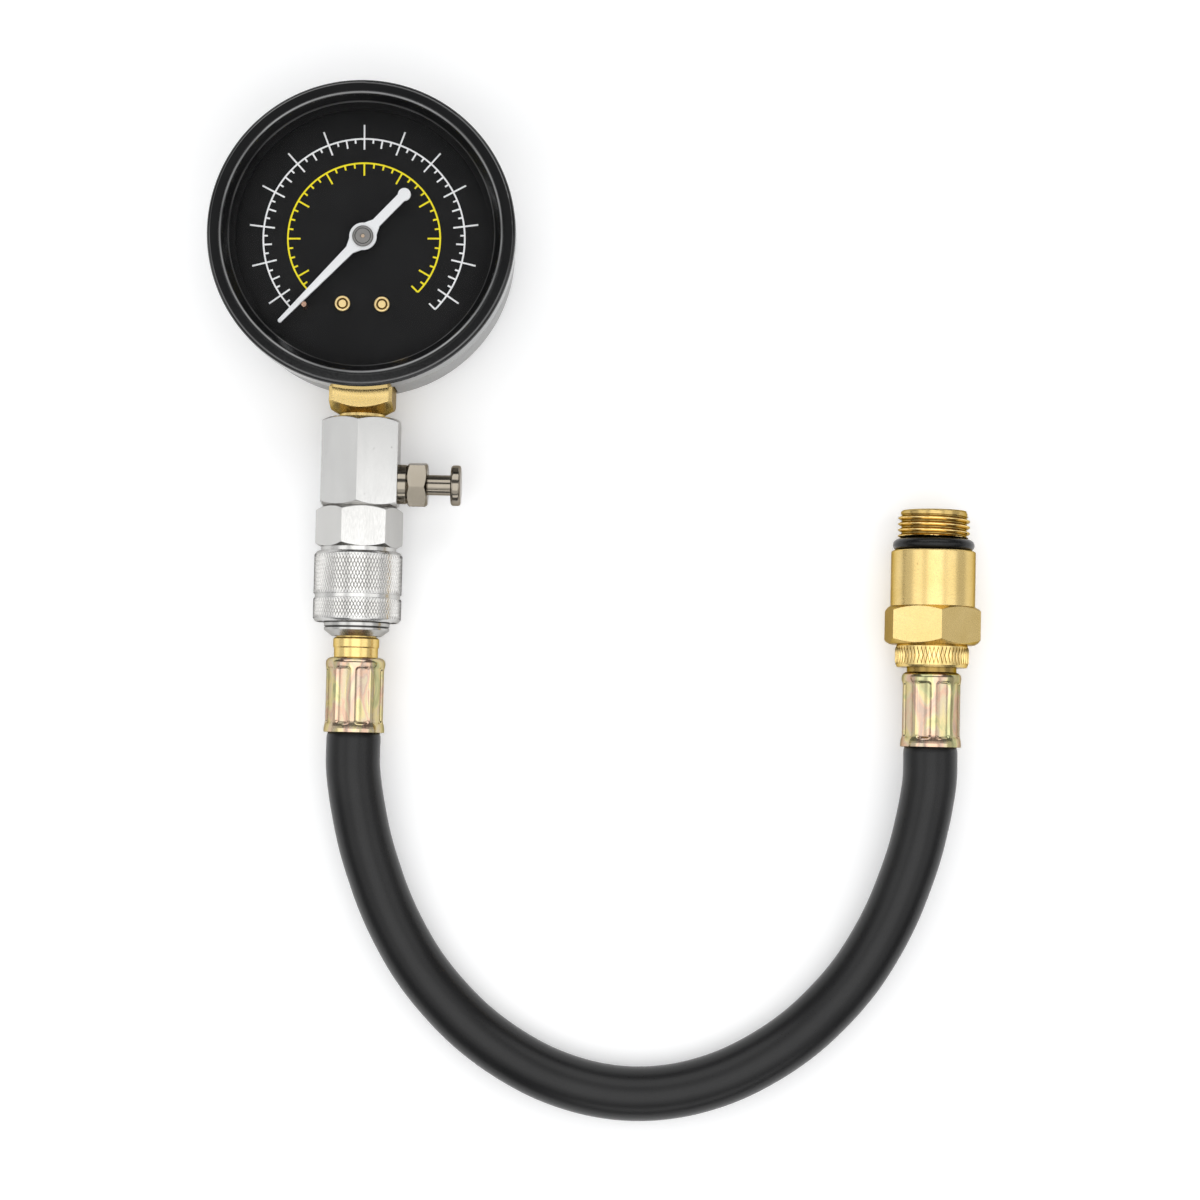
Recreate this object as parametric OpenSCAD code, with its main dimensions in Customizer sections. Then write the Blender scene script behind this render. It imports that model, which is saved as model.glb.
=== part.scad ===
// Compression tester gauge for engine cylinders, lying on its back with the dial facing up.
// Millimetres, +Z up. The gauge axis is Z and the back of the case lies on z = 0. The stem, the
// valve block and the coupler run along -Y, and the hose brings the adapter back along +Y.

/* [Gauge case] */
// Outside diameter of the bezel ring
bezel_d = 76; // [70:1:110]
// Radial step from the bezel down to the case
bezel_step = 1; // [0.8:0.1:2]
// Sheet thickness of the drawn case
case_wall = 1; // [0.8:0.1:1.5]
// Outside corner radius between the back and the wall
case_corner = 3; // [2:0.5:5]
// Stem axis above the back of the case
stem_z = 13; // [12.8:0.1:16]
// Radial width of the bezel lip over the window
lip_w = 5.4; // [4.6:0.2:7]
// Height of the bezel in front of the window
lip_h = 3; // [2.6:0.2:5]
// Thickness of the window
window_t = 2; // [1.5:0.1:3]
// Free height between dial and window
window_gap = 4.8; // [2.8:0.1:5]
// Thickness of the ring under the window
gasket_t = 1; // [0.6:0.1:1.6]
// How far the bezel skirt reaches down over the case
skirt_h = 2; // [1.5:0.5:5]

/* [Dial and pointer] */
// Thickness of the dial plate
dial_t = 0.6; // [0.4:0.1:1.2]
// Distance of the two dial screws from the middle line
dial_screw_x = 4.9; // [4.4:0.1:6]
// Distance of the two dial screws below the gauge axis
dial_screw_y = 16.4; // [15.6:0.1:17]
// Diameter of the dial screw heads
dial_head_d = 4; // [3.2:0.1:5]
// Length of the pointer from axis to tip
pointer_len = 29.8; // [24:0.2:31]
// Length of the pointer tail from axis to the middle of its round end
tail_len = 14.6; // [10:0.2:18]
// Diameter of the round end of the tail
tail_d = 3.2; // [2.4:0.1:5]
// Thickness of the pointer
pointer_t = 0.6; // [0.4:0.1:1]
// Direction of the pointer at rest
pointer_rest = 227; // [220:1:230]
// Sweep of the pointer at full scale
pointer_sweep = 270; // [180:30:270]

/* [Movement] */
// Distance between the pinion and the sector pivot
gear_centres = 18; // [17.4:0.1:18.6]
// Teeth of the pinion
pinion_teeth = 12; // [10:1:14]
// Radius of the sector tail
tail_r = 6.5; // [6:0.1:7]
// Length of the link between its two eyes
link_len = 8; // [7.6:0.1:9]
// Diameter of the arbors where they run in the plates
arbor_d = 1.2; // [1:0.1:1.6]
// Thickness of the movement plates
plate_t = 1; // [0.8:0.1:1.4]
// Radius of the bourdon tube at its middle
tube_r = 26; // [25.6:0.1:27]
// Width of the bourdon tube along the gauge axis
tube_w = 10; // [8:0.5:11]
// Thickness of the bourdon tube across its flat
tube_t = 3.2; // [2.6:0.1:4]
// Wall of the bourdon tube
tube_wall = 0.5; // [0.3:0.1:0.7]

/* [Stem and valve block] */
// Width across flats of the square shank
shank_af = 15.7; // [14:0.1:17]
// Reach of the square shank past the case
shank_reach = 6; // [5:0.5:12]
// Diameter of the round neck under the shank
neck_d = 11.3; // [11:0.1:13]
// Length of the round neck
neck_len = 1.15; // [0.6:0.05:3]
// Diameter of the stem spigot in the block
spigot_d = 10; // [8:0.1:10.6]
// Length of the stem spigot in the block
spigot_len = 11; // [8:0.5:11]
// Width across flats of the valve block and of the coupler hexagon
wrench_af = 19; // [18:0.5:24]
// Length of the valve block
block_len = 22.15; // [21.8:0.05:30]
// Diameter of the block stud in the coupler
stud_d = 11; // [9:0.5:12]
// Length of the block stud in the coupler
stud_len = 8.6; // [6:0.1:9]
// Diameter of the air passages
passage_d = 4; // [2.5:0.1:4.4]

/* [Release valve] */
// Distance of the valve axis above the lower end of the block
valve_up = 6; // [5.8:0.1:8]
// Diameter of the valve spigot in the block
valve_spigot_d = 8; // [7.8:0.1:8.4]
// Diameter of the valve collar
valve_collar_d = 9.9; // [9:0.1:11]
// Length of the valve collar
valve_collar_len = 2.3; // [1.5:0.1:4]
// Width across flats of the valve hexagon
valve_af = 10.5; // [10:0.5:13]
// Length of the valve hexagon
valve_hex_len = 5.1; // [4:0.1:8]
// Diameter of the plunger stem
stem_d = 5.1; // [4.6:0.1:5.6]
// Free length of the plunger stem
stem_len = 5.8; // [5:0.1:9]
// Diameter of the push button
button_d = 10.2; // [8:0.1:13]
// Thickness of the push button
button_t = 2.5; // [1.8:0.1:4]
// Travel of the push button
push_travel = 3; // [2:0.1:3]

/* [Quick coupler] */
// Length of the coupler hexagon
coupler_hex_len = 10.4; // [10:0.1:14]
// Turn of the coupler hexagon from corner up
coupler_turn = 19; // [0:1:60]
// Diameter of the coupler barrel inside the sleeve
barrel_d = 16.4; // [16:0.1:17]
// Outside diameter of the sleeve
sleeve_d = 22; // [21.6:0.1:26]
// Length of the sleeve
sleeve_len = 17.6; // [17:0.1:22]
// Travel of the sleeve towards the hose
sleeve_travel = 3; // [2.6:0.1:3]
// Number of locking balls
ball_count = 6; // [4:1:6]
// Depth of the balls in the groove of the plug
ball_bite = 0.8; // [0.4:0.1:1]
// Length of the barrel that shows below the sleeve
nose_len = 3.5; // [3.2:0.1:6]
// Diameter of the plug in the coupler
plug_d = 10; // [9.4:0.1:10.4]

/* [Hose] */
// Outside diameter of the hose
hose_d = 13.5; // [12:0.5:16]
// Bore of the hose
hose_bore_d = 7.2; // [6:0.2:8]
// Length of the crimped ferrules
ferrule_len = 18.6; // [16:0.2:26]
// Number of pressed panels round a ferrule
panel_count = 9; // [8:1:12]
// Diameter of the plug shoulder that shows above the ferrule
plug_shoulder_d = 11.5; // [11:0.1:14]
// Length of the plug shoulder
plug_shoulder_len = 5; // [4:0.1:8]

/* [Engine end] */
// Diameter of the adapter thread
thread_d = 18; // [17:0.5:20]
// Length of the adapter thread
thread_len = 7.1; // [6:0.1:14]
// Section of the sealing ring
seal_section = 3; // [2.4:0.1:3.4]
// Diameter of the adapter body
adapter_d = 21.1; // [20.6:0.1:23]
// Length of the adapter body
adapter_len = 13.9; // [12:0.1:20]
// Width across flats of the adapter hexagon
adapter_af = 22; // [22:0.5:27]
// Length of the adapter hexagon
adapter_hex_len = 9.5; // [8:0.1:14]
// Turn of the adapter hexagon from corner up
adapter_turn = 3.7; // [0:0.1:60]
// Diameter of the knurled collar on the hose end
collar_d = 18.4; // [17:0.1:20]
// Length of the knurled collar
collar_len = 5.7; // [5:0.1:9]
// Diameter of the hose end stud in the adapter
hose_stud_d = 14; // [13:0.5:14]
// Length of the hose end stud in the adapter
hose_stud_len = 10.5; // [10:0.1:14]
// Diameter of the valve core
core_d = 5.2; // [5:0.1:6]
// Travel of the valve core pin
core_travel = 1.2; // [0.8:0.1:1.5]

/* [Fits] */
// Radial clearance of seats and running fits
fit = 0.05; // [0.03:0.01:0.08]
// Gap between pieces that move past each other
gap = 0.3; // [0.2:0.05:0.4]

/* [Hidden] */
$fn = 64;

// Finishes
black = [0.05, 0.05, 0.055];
grey = [0.55, 0.55, 0.56];
silver = [0.82, 0.82, 0.83];
brass = [0.83, 0.68, 0.36];
zinc = [0.78, 0.72, 0.45];
rubber = [0.09, 0.09, 0.09];
white = [0.95, 0.95, 0.95];
glass = [0.8, 0.9, 0.95, 0.25];

// Case levels, from the back to the front
case_r = bezel_d / 2 - bezel_step;
case_in = case_r - case_wall;
bezel_r = bezel_d / 2;
dial_z = stem_z + shank_af / 2 + 0.55;
dial_top = dial_z + dial_t;
window_z = dial_top + window_gap;
rim_z = window_z - gasket_t;
lip_z = window_z + window_t;
front_z = lip_z + lip_h;
skirt_z = rim_z - skirt_h;
lip_r = bezel_r - lip_w;
window_r = case_r - 0.5;
dial_r = case_in - 1;
ridge_r = bezel_r - 3.4;
ridge_h = 0.8;
shoulder_r = 1;
notch_w = shank_af + 2 * gap;

// Pointer and stop pin
pointer_z = dial_top + max(1, window_gap - 2);
cap_t = 0.7;
hub_r = 3.4;
flare_len = 2.2;
flare_w = 0.66 * hub_r;
tail_w = 2.3;
cap_r = 2.6;
arbor_r = arbor_d / 2;
stop_r = 0.75 * pointer_len;
stop_turn = pointer_rest + 4;
stop_d = 1.3;
dial_post_d = 4;
dial_shank_r = 0.95;

// Movement layers
plate_drop = 5;
plate_rise = 3.5;
ledge_z = stem_z - plate_drop;
plate_z = ledge_z + plate_t;
sector_z = stem_z - 1;
sector_t = 1.2;
link_z = sector_z + sector_t + 0.4;
link_t = 0.8;
pinion_z = sector_z - 0.8;
pinion_h = 2.8;
spring_z = pinion_z + pinion_h + 0.5;
spring_h = 0.8;
top_z = stem_z + plate_rise;
pillar_r = 1.4;
pillars = [[6, 9], [-7, -3], [10, -15.5]];

// Gear train: the sector pivot, its rest turn and the tooth proportions
pivot_turn = -30;
pivot = gear_centres * [cos(pivot_turn), sin(pivot_turn)];
gear_ratio = 9;
sector_teeth = gear_ratio * pinion_teeth;
module_m = 2 * gear_centres / (pinion_teeth + sector_teeth);
pinion_pitch_r = module_m * pinion_teeth / 2;
sector_pitch_r = module_m * sector_teeth / 2;
sector_sweep = pointer_sweep / gear_ratio;
pressure_angle = 20;
tooth_half = 0.45 * PI * module_m / 2;

// Tube tip: it moves along the chord that the sector tail swings through
tail_turn = -90;
chord_turn = tail_turn + 90 + sector_sweep / 2;
chord = 2 * tail_r * sin(sector_sweep / 2);
tail_pin = pivot + tail_r * [cos(tail_turn), sin(tail_turn)];
tip_pin = tail_pin + link_len * [cos(chord_turn), sin(chord_turn)];
pin_r = 0.7;
eye_r = 1.7;
eye_slack = tail_r * (1 - cos(sector_sweep / 2)) + 0.08;
tube_start = 258;
tube_end = -20;
tip_wall = 1;

// Socket inside the case
ledge_top = -11.5;
ledge_end = -21;
block_in = -(case_in - 3.5);
socket_w = 16;
socket_top = dial_z - 1.1;
bore_r = 1.5;
screw_r = 1.2;
screw_head_r = 2.2;
screw_head_h = 1.4;
screw_len = 4;
screw_end = 0.5;
pillar_screw_r = 0.8;
pillar_screw_len = 3;
pillar_head_r = 1.6;
pillar_head_h = 1;
feet = [[0, ledge_end + 3 * screw_head_r + 2 * gap], [0, ledge_end + screw_head_r + gap]];
case_screw_in = 7;
case_screw_x = 4.5;
case_screw_pos = [[-case_screw_x, case_screw_in - case_in], [case_screw_x, case_screw_in - case_in]];
case_screw_len = 7;

// Stack along the stem, measured from the gauge axis
shank_end = case_r + shank_reach;
block_top = shank_end + neck_len;
block_end = block_top + block_len;
valve_t = block_end - valve_up;
hex_end = block_end + coupler_hex_len;
sleeve_top = hex_end + 0.9;
sleeve_end = sleeve_top + sleeve_len;
nose_end = sleeve_end + nose_len;
shoulder_top = nose_end + gap;
ferrule_top = shoulder_top + plug_shoulder_len;
ferrule_end = ferrule_top + ferrule_len;

// Release valve, measured from the stem axis
passage_r = passage_d / 2;
flat_x = wrench_af / 2;
valve_in = flat_x - 5;
valve_collar_end = flat_x + valve_collar_len;
valve_hex_end = valve_collar_end + valve_hex_len;
button_in = valve_hex_end + stem_len;
cavity_in = valve_in + 1;
cavity_out = flat_x + 2;
cavity_r = valve_spigot_d / 2 - 0.8;
stem_in = cavity_out - 0.5;
rod_r = 1.2;
seal_r = 2.8;
seal_t = 1;
port_r = 3.3;
port_in = valve_in - seal_t - push_travel - 2;

// Coupler
barrel_r = barrel_d / 2;
plug_r = plug_d / 2;
ball_r = (barrel_r - plug_r + ball_bite) / 2;
ball_t = sleeve_top + 7.4;
ball_ring = barrel_r - ball_r;
relief_end = ball_t - sleeve_travel + 1.8;
relief_start = relief_end - 4.4;
land_end = ball_t + 2.5;
cavity_wall = 1;
sleeve_cavity_r = sleeve_d / 2 - cavity_wall;
washer_top = sleeve_end - 1.8;
washer_t = 0.8;
ring_t = 0.8;
ring_groove = 0.5;
plug_in = hex_end + 0.8;
gland_t = sleeve_top + 2.4;
gland_section = 1.8;

// Hose and its ends
hose_r = hose_d / 2;
crimp_r = hose_r - 0.7;
ferrule_r = hose_r + 0.7;
ferrule_bore_r = crimp_r + 0.15;
hose_bore_r = hose_bore_d / 2;
barb_r = hose_bore_r * cos(15) - 0.08;
tube_bore_r = 2;
panel_depth = 0.3;

// Route of the hose from the mouth of the gauge ferrule to the mouth of the engine ferrule
route = [
    [0, 0, 0], [0, -8, 0], [0.7, -14, -0.2], [1.8, -20, -0.6], [3.4, -27, -1.2], [5.6, -34, -1.9],
    [8.6, -42, -2.8], [12.5, -50, -3.7], [17.4, -58, -4.6], [23.5, -65.5, -5.3], [31, -72.8, -5.9],
    [40, -79.2, -6.15], [50, -84.3, -6.2], [61, -87.6, -6.2], [72, -88.7, -6.2], [83, -87.6, -6.2],
    [94, -84.3, -6.15], [104, -79.2, -6], [113, -72.8, -5.6], [120.5, -65.5, -5],
    [126.6, -58, -4.2], [131.5, -50, -3.4], [135.4, -42, -2.6], [138.4, -34, -1.9],
    [140.6, -27, -1.4], [142.2, -20, -0.9], [143.3, -14, -0.6], [144, -8, -0.4], [144, -0.4, -0.4]
];
route_start = [0, -ferrule_end, stem_z];
route_end = route_start + route[len(route) - 1];

// Engine end, measured from the mouth of the engine ferrule
end_neck = ferrule_len + 1.2;
collar_end = end_neck + collar_len;
adapter_hex_end = collar_end + adapter_hex_len;
adapter_end = adapter_hex_end + adapter_len;
seal_end = adapter_end + seal_section;
thread_end = seal_end + thread_len;
stud_end = collar_end + hose_stud_len;
seal_seat_r = thread_d / 2 - 1.8;
core_r = core_d / 2;
core_out = stud_end - 1;
core_in = core_out - 8;
core_pin_r = 0.6;
core_seat = core_out - core_travel - 3;

// Frames: local z runs along the stem, along the valve or along the hose end
module along_stem() {
    translate([0, 0, stem_z]) rotate([90, 0, 0]) children();
}

module along_valve() {
    translate([0, -valve_t, stem_z]) rotate([0, 90, 0]) children();
}

module along_end() {
    translate(route_end) rotate([-90, 0, 0]) children();
}

// A turned piece from a list of radius and height
module turned(points) {
    rotate_extrude() polygon(points);
}

// A tube between two heights
module ring(r_out, r_in, z0, z1) {
    translate([0, 0, z0]) difference() {
        cylinder(h = z1 - z0, r = r_out);
        translate([0, 0, -1]) cylinder(h = z1 - z0 + 2, r = r_in);
    }
}

// A plain bar between two heights
module bar(r, z0, z1) {
    translate([0, 0, z0]) cylinder(h = z1 - z0, r = r);
}

// A hexagon bar with both ends turned down to its flats; turn is the direction of one corner
module hexagon(af, z0, z1, turn) {
    corner = af / sqrt(3);
    drop = (corner - af / 2) * tan(30) + 0.25;
    intersection() {
        rotate([0, 0, turn]) translate([0, 0, z0]) cylinder(h = z1 - z0, r = corner, $fn = 6);
        turned([
            [0, z0], [af / 2 - 0.4, z0], [corner + 0.1, z0 + drop], [corner + 0.1, z1 - drop],
            [af / 2 - 0.4, z1], [0, z1]
        ]);
    }
}

// A round wire ring
module wire_ring(r, section, z) {
    translate([0, 0, z]) rotate_extrude() translate([r, 0]) circle(d = section);
}

// A coil spring between two heights, with flat-wound ends
module coil(r, wire, z0, z1, turns) {
    steps = 14;
    sides = 8;
    total = steps * turns;
    low = z0 + wire / 2;
    rise = z1 - z0 - wire;
    points = [
        for (i = [0 : total])
            for (k = [0 : sides - 1])
                let (
                    a = 360 * i / steps,
                    b = 360 * k / sides,
                    p = (i / steps - 0.75) / (turns - 1.5),
                    s = rise * max(0, min(1, p)),
                    d = r + wire / 2 * cos(b)
                )
                [d * cos(a), d * sin(a), low + s + wire / 2 * sin(b)]
    ];
    walls = [
        for (i = [0 : total - 1])
            for (k = [0 : sides - 1])
                [i * sides + k, i * sides + (k + 1) % sides, (i + 1) * sides + (k + 1) % sides,
                 (i + 1) * sides + k]
    ];
    caps = [[for (k = [sides - 1 : -1 : 0]) k], [for (k = [0 : sides - 1]) total * sides + k]];
    polyhedron(points, concat(walls, caps), convexity = 8);
}

// Involute gear teeth
function roll(r, base) = let (a = acos(min(1, base / r))) tan(a) * 180 / PI - a;
function flank(r, base, pitch) =
    tooth_half / pitch * 180 / PI + roll(pitch, base) - roll(max(r, base), base);
function polar(r, a) = r * [cos(a), sin(a)];
function tooth(a, pitch, root, tip) =
    let (base = pitch * cos(pressure_angle), low = max(base, root), n = 5)
    concat(
        [polar(root, a - flank(low, base, pitch))],
        [for (i = [0 : n]) let (r = low + (tip - low) * i / n) polar(r, a - flank(r, base, pitch))],
        [for (i = [n : -1 : 0]) let (r = low + (tip - low) * i / n) polar(r, a + flank(r, base, pitch))],
        [polar(root, a + flank(low, base, pitch))]
    );
function joined(lists) = [for (l = lists) for (p = l) p];

// Gauge case and front

module cup(r, corner, h) {
    square([r - corner, h]);
    translate([0, corner]) square([r, h - corner]);
    translate([r - corner, corner]) circle(corner);
}

module case() {
    color(grey) difference() {
        rotate_extrude() difference() {
            cup(case_r, case_corner, rim_z);
            translate([0, case_wall]) cup(case_in, case_corner - case_wall, rim_z);
        }
        translate([-notch_w / 2, -case_r - 1, stem_z - notch_w / 2])
            cube([notch_w, case_wall + 6, rim_z]);
        for (p = case_screw_pos) translate([p[0], p[1], 0])
            turned([[0, -0.1], [screw_head_r + fit, -0.1], [screw_head_r + fit, 0],
                    [screw_r + fit, case_wall], [screw_r + fit, case_wall + 0.1], [0, case_wall + 0.1]]);
    }
}

module bezel() {
    flat_z = front_z - ridge_h;
    bead_r = 0.5;
    color(black) rotate_extrude() {
        translate([case_r + fit, skirt_z])
            square([bezel_r - case_r - fit, flat_z - shoulder_r - skirt_z]);
        translate([ridge_r, lip_z]) square([bezel_r - ridge_r, flat_z - shoulder_r - lip_z]);
        translate([ridge_r, lip_z]) square([bezel_r - shoulder_r - ridge_r, flat_z - lip_z]);
        translate([bezel_r - shoulder_r, flat_z - shoulder_r]) circle(shoulder_r);
        translate([ridge_r - bead_r, lip_z]) square([2 * bead_r, lip_h - bead_r]);
        translate([ridge_r, front_z - bead_r]) circle(bead_r);
        polygon([[lip_r, lip_z], [ridge_r, lip_z], [ridge_r, front_z - bead_r],
                 [ridge_r - bead_r, front_z - bead_r], [lip_r, lip_z + 0.6]]);
    }
}

module window() {
    color(glass) bar(window_r, window_z, lip_z);
}

module window_gasket() {
    color(rubber) ring(window_r, lip_r - 1.1, rim_z, window_z);
}

module at_dial_screws() {
    for (s = [-1, 1]) translate([s * dial_screw_x, -dial_screw_y, 0]) children();
}

module at_stop() {
    rotate([0, 0, stop_turn]) translate([stop_r, 0, 0]) children();
}

module dial() {
    color(black) difference() {
        bar(dial_r, dial_z, dial_top);
        bar(2.5, dial_z - 1, dial_top + 1);
        at_dial_screws() bar(dial_shank_r + fit, dial_z - 1, dial_top + 1);
        at_stop() bar(stop_d / 2 + fit, dial_z - 1, dial_top + 1);
    }
}

module dial_screws() {
    head_h = 0.8;
    r = dial_head_d / 2;
    color(brass) at_dial_screws() {
        turned([[0, dial_top], [r, dial_top], [r, dial_top + head_h - 0.3], [r - 0.3, dial_top + head_h],
                [r - 0.7, dial_top + head_h], [r - 0.9, dial_top + head_h - 0.35],
                [0, dial_top + head_h - 0.35]]);
        bar(dial_shank_r, dial_z - 4, dial_top);
    }
}

module dial_posts() {
    color(brass) at_dial_screws() difference() {
        union() {
            bar(dial_post_d / 2, plate_z, dial_z);
            bar(1, ledge_z, plate_z);
        }
        bar(dial_shank_r + fit, dial_z - 4.5, dial_z + 1);
    }
}

module stop_pin() {
    color(brass) at_stop() {
        bar(stop_d / 2, dial_z, pointer_z + pointer_t + 0.8);
        bar(stop_d, dial_z - 0.5, dial_z);
    }
}

module pointer() {
    waist = 1.25;
    flare_mid = hub_r + flare_len / 2;
    color(white) rotate([0, 0, pointer_rest]) difference() {
        union() {
            translate([0, 0, pointer_z]) linear_extrude(pointer_t) {
                polygon([[0, -waist], [pointer_len - 0.3, -0.5], [pointer_len, -0.2],
                         [pointer_len, 0.2], [pointer_len - 0.3, 0.5], [0, waist]]);
                translate([-tail_len, -tail_w / 2]) square([tail_len, tail_w]);
                translate([-tail_len, 0]) circle(d = tail_d);
                circle(hub_r);
                for (s = [0, 1]) mirror([s, 0])
                    polygon([[0.7 * hub_r, -flare_w], [flare_mid, -waist], [hub_r + flare_len, 0],
                             [flare_mid, waist], [0.7 * hub_r, flare_w]]);
            }
            bar(1.8, pointer_z - 0.6, pointer_z);
        }
        bar(arbor_r + 0.02, pointer_z - 1, pointer_z + pointer_t + 1);
    }
}

module pointer_cap() {
    z = pointer_z + pointer_t;
    color(grey) turned([[0, z], [cap_r, z], [cap_r, z + cap_t - 0.25], [cap_r - 0.25, z + cap_t],
                        [0.6, z + cap_t], [0.45, z + cap_t - 0.25], [0, z + cap_t - 0.25]]);
}

// Movement

module pinion() {
    root = pinion_pitch_r - 1.25 * module_m;
    tip = pinion_pitch_r + module_m;
    step = 360 / pinion_teeth;
    color(grey) {
        translate([0, 0, pinion_z]) linear_extrude(pinion_h)
            polygon(joined([
                for (i = [0 : pinion_teeth - 1])
                    tooth(pivot_turn + step * (i + 0.5), pinion_pitch_r, root, tip)
            ]));
        bar(arbor_r, ledge_z, pointer_z + pointer_t);
        bar(1.1, spring_z + spring_h + 0.2, top_z - 0.2);
    }
}

module hairspring() {
    turns = 4;
    strip = 0.12;
    steps = 30;
    total = turns * steps;
    r0 = 1.4;
    stud = pillars[1];
    r1 = norm(stud) - pillar_r - strip;
    end_turn = atan2(stud[1], stud[0]);
    function spiral(i, side) = polar(r0 + (r1 - r0) * i / total + side * strip,
                                     end_turn + 360 * (i - total) / steps);
    color(silver) {
        ring(r0 + strip, arbor_r + fit, spring_z, spring_z + spring_h);
        translate([0, 0, spring_z]) linear_extrude(spring_h)
            polygon(concat([for (i = [0 : total]) spiral(i, 1)],
                           [for (i = [total : -1 : 0]) spiral(i, -1)]));
    }
}

module plate_outline(margin) {
    corners = [pillars[0], pillars[1], pillars[2], pivot];
    rail = margin - 0.4;
    for (p = corners) translate(p) circle(margin);
    polygon(corners);
    for (i = [0 : 3]) {
        a = corners[i];
        b = corners[(i + 1) % 4];
        translate(a) rotate(atan2(b[1] - a[1], b[0] - a[0]))
            translate([0, -rail]) square([norm(b - a), 2 * rail]);
    }
}

module back_plate() {
    color(brass) difference() {
        translate([0, 0, ledge_z]) linear_extrude(plate_t) {
            plate_outline(3);
            translate([-7, ledge_end + gap]) square([14, 17]);
        }
        bar(arbor_r + fit, ledge_z - 1, plate_z + 1);
        translate(pivot) bar(arbor_r + fit, ledge_z - 1, plate_z + 1);
        at_dial_screws() bar(1 + fit, ledge_z - 1, plate_z + 1);
        for (p = feet) translate(p) bar(screw_r + fit, ledge_z - 1, plate_z + 1);
    }
}

module top_plate() {
    color(brass) difference() {
        translate([0, 0, top_z]) linear_extrude(plate_t) plate_outline(3);
        bar(arbor_r + fit, top_z - 1, top_z + plate_t + 1);
        translate(pivot) bar(arbor_r + fit, top_z - 1, top_z + plate_t + 1);
        at_dial_screws() bar(dial_post_d / 2 + gap, top_z - 1, top_z + plate_t + 1);
        for (p = pillars) translate(p) bar(pillar_screw_r + fit, top_z - 1, top_z + plate_t + 1);
    }
}

module plate_pillars() {
    color(brass) for (p = pillars) translate(p) difference() {
        bar(pillar_r, plate_z, top_z);
        bar(pillar_screw_r + fit, top_z - pillar_screw_len - screw_end, top_z + 1);
    }
}

module plate_screws() {
    top = top_z + plate_t;
    color(grey) {
        for (p = pillars) translate(p) {
            bar(pillar_screw_r, top_z - pillar_screw_len, top);
            bar(pillar_head_r, top, top + pillar_head_h);
        }
        for (p = feet) translate(p) {
            bar(screw_r, ledge_z - screw_len, plate_z);
            bar(screw_head_r, plate_z, plate_z + screw_head_h);
        }
    }
}

module sector() {
    root = sector_pitch_r - 1.3 * module_m;
    tip = sector_pitch_r + 0.7 * module_m;
    step = 360 / sector_teeth;
    centre = pivot_turn + 180;
    last = ceil(sector_sweep / step) + 2;
    rim = root - 1.4;
    a0 = centre - step * (last + 0.5);
    a1 = centre + step * 2.5;
    teeth = joined([for (i = [last : -1 : -2]) tooth(centre - step * i, sector_pitch_r, root, tip)]);
    color(brass) translate(pivot) {
        translate([0, 0, sector_z]) linear_extrude(sector_t) difference() {
            union() {
                polygon(concat([polar(root, a0)], teeth, [polar(root, a1)],
                               [for (i = [0 : 20]) polar(rim, a1 + (a0 - a1) * i / 20)]));
                for (a = [a0 + 1, a1 - 1]) rotate(a)
                    translate([0, a > centre ? -1.6 : 0]) square([rim + 0.7, 1.6]);
                circle(2.4);
                rotate(tail_turn) translate([0, -1.2]) square([tail_r, 2.4]);
                rotate(tail_turn) translate([tail_r, 0]) circle(eye_r);
            }
            circle(arbor_r);
        }
        bar(arbor_r, ledge_z, top_z + plate_t);
        ring(1.5, arbor_r, sector_z - 1.2, sector_z);
        ring(1.5, arbor_r, sector_z + sector_t, sector_z + sector_t + 1);
        translate(polar(tail_r, tail_turn)) {
            bar(1.1, sector_z + sector_t, link_z - 0.1);
            bar(pin_r, link_z - 0.1, link_z + link_t + 0.1);
            bar(1.1, link_z + link_t + 0.1, link_z + link_t + 0.5);
        }
    }
}

module link() {
    color(silver) translate([0, 0, link_z]) linear_extrude(link_t) difference() {
        union() {
            translate(tail_pin) circle(eye_r);
            translate(tip_pin) circle(eye_r + 0.3);
            translate(tail_pin) rotate(chord_turn) translate([0, -1]) square([link_len, 2]);
        }
        translate(tail_pin) circle(pin_r + fit);
        translate(tip_pin) circle(pin_r + eye_slack);
    }
}

module oval(w, t) {
    for (s = [-1, 1]) translate([0, s * (w - t) / 2]) circle(d = t);
    square([t, w - t], center = true);
}

module bent(from, to) {
    rotate([0, 0, from]) rotate_extrude(angle = to - from) translate([tube_r, stem_z]) children();
}

module bourdon_tube() {
    color(brass) difference() {
        bent(tube_end, tube_start) oval(tube_w, tube_t);
        bent(tube_end - 1, tube_start + 1) oval(tube_w - 2 * tube_wall, tube_t - 2 * tube_wall);
    }
}

module tube_tip() {
    w = tube_w + 2 * tip_wall;
    t = tube_t + 2 * tip_wall;
    root = polar(tube_r, tube_end - 2);
    lug_z = sector_z - 0.6;
    lug_t = sector_z + sector_t - lug_z;
    color(brass) {
        difference() {
            bent(tube_end - 3, tube_end + 3) oval(w, t);
            bent(tube_end, tube_end + 4) oval(tube_w + 2 * fit, tube_t + 2 * fit);
        }
        translate([0, 0, lug_z]) linear_extrude(lug_t) {
            translate(tip_pin) circle(eye_r);
            translate(tip_pin) rotate(atan2(root[1] - tip_pin[1], root[0] - tip_pin[0]))
                translate([0, -1.4]) square([norm(root - tip_pin) - 0.6, 2.8]);
        }
        translate(tip_pin) {
            bar(1.3, sector_z + sector_t, link_z - 0.1);
            bar(pin_r, link_z - 0.1, link_z + link_t + 0.1);
            bar(1.6, link_z + link_t + 0.1, link_z + link_t + 0.5);
        }
    }
}

// Stem, valve block and release valve

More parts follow.
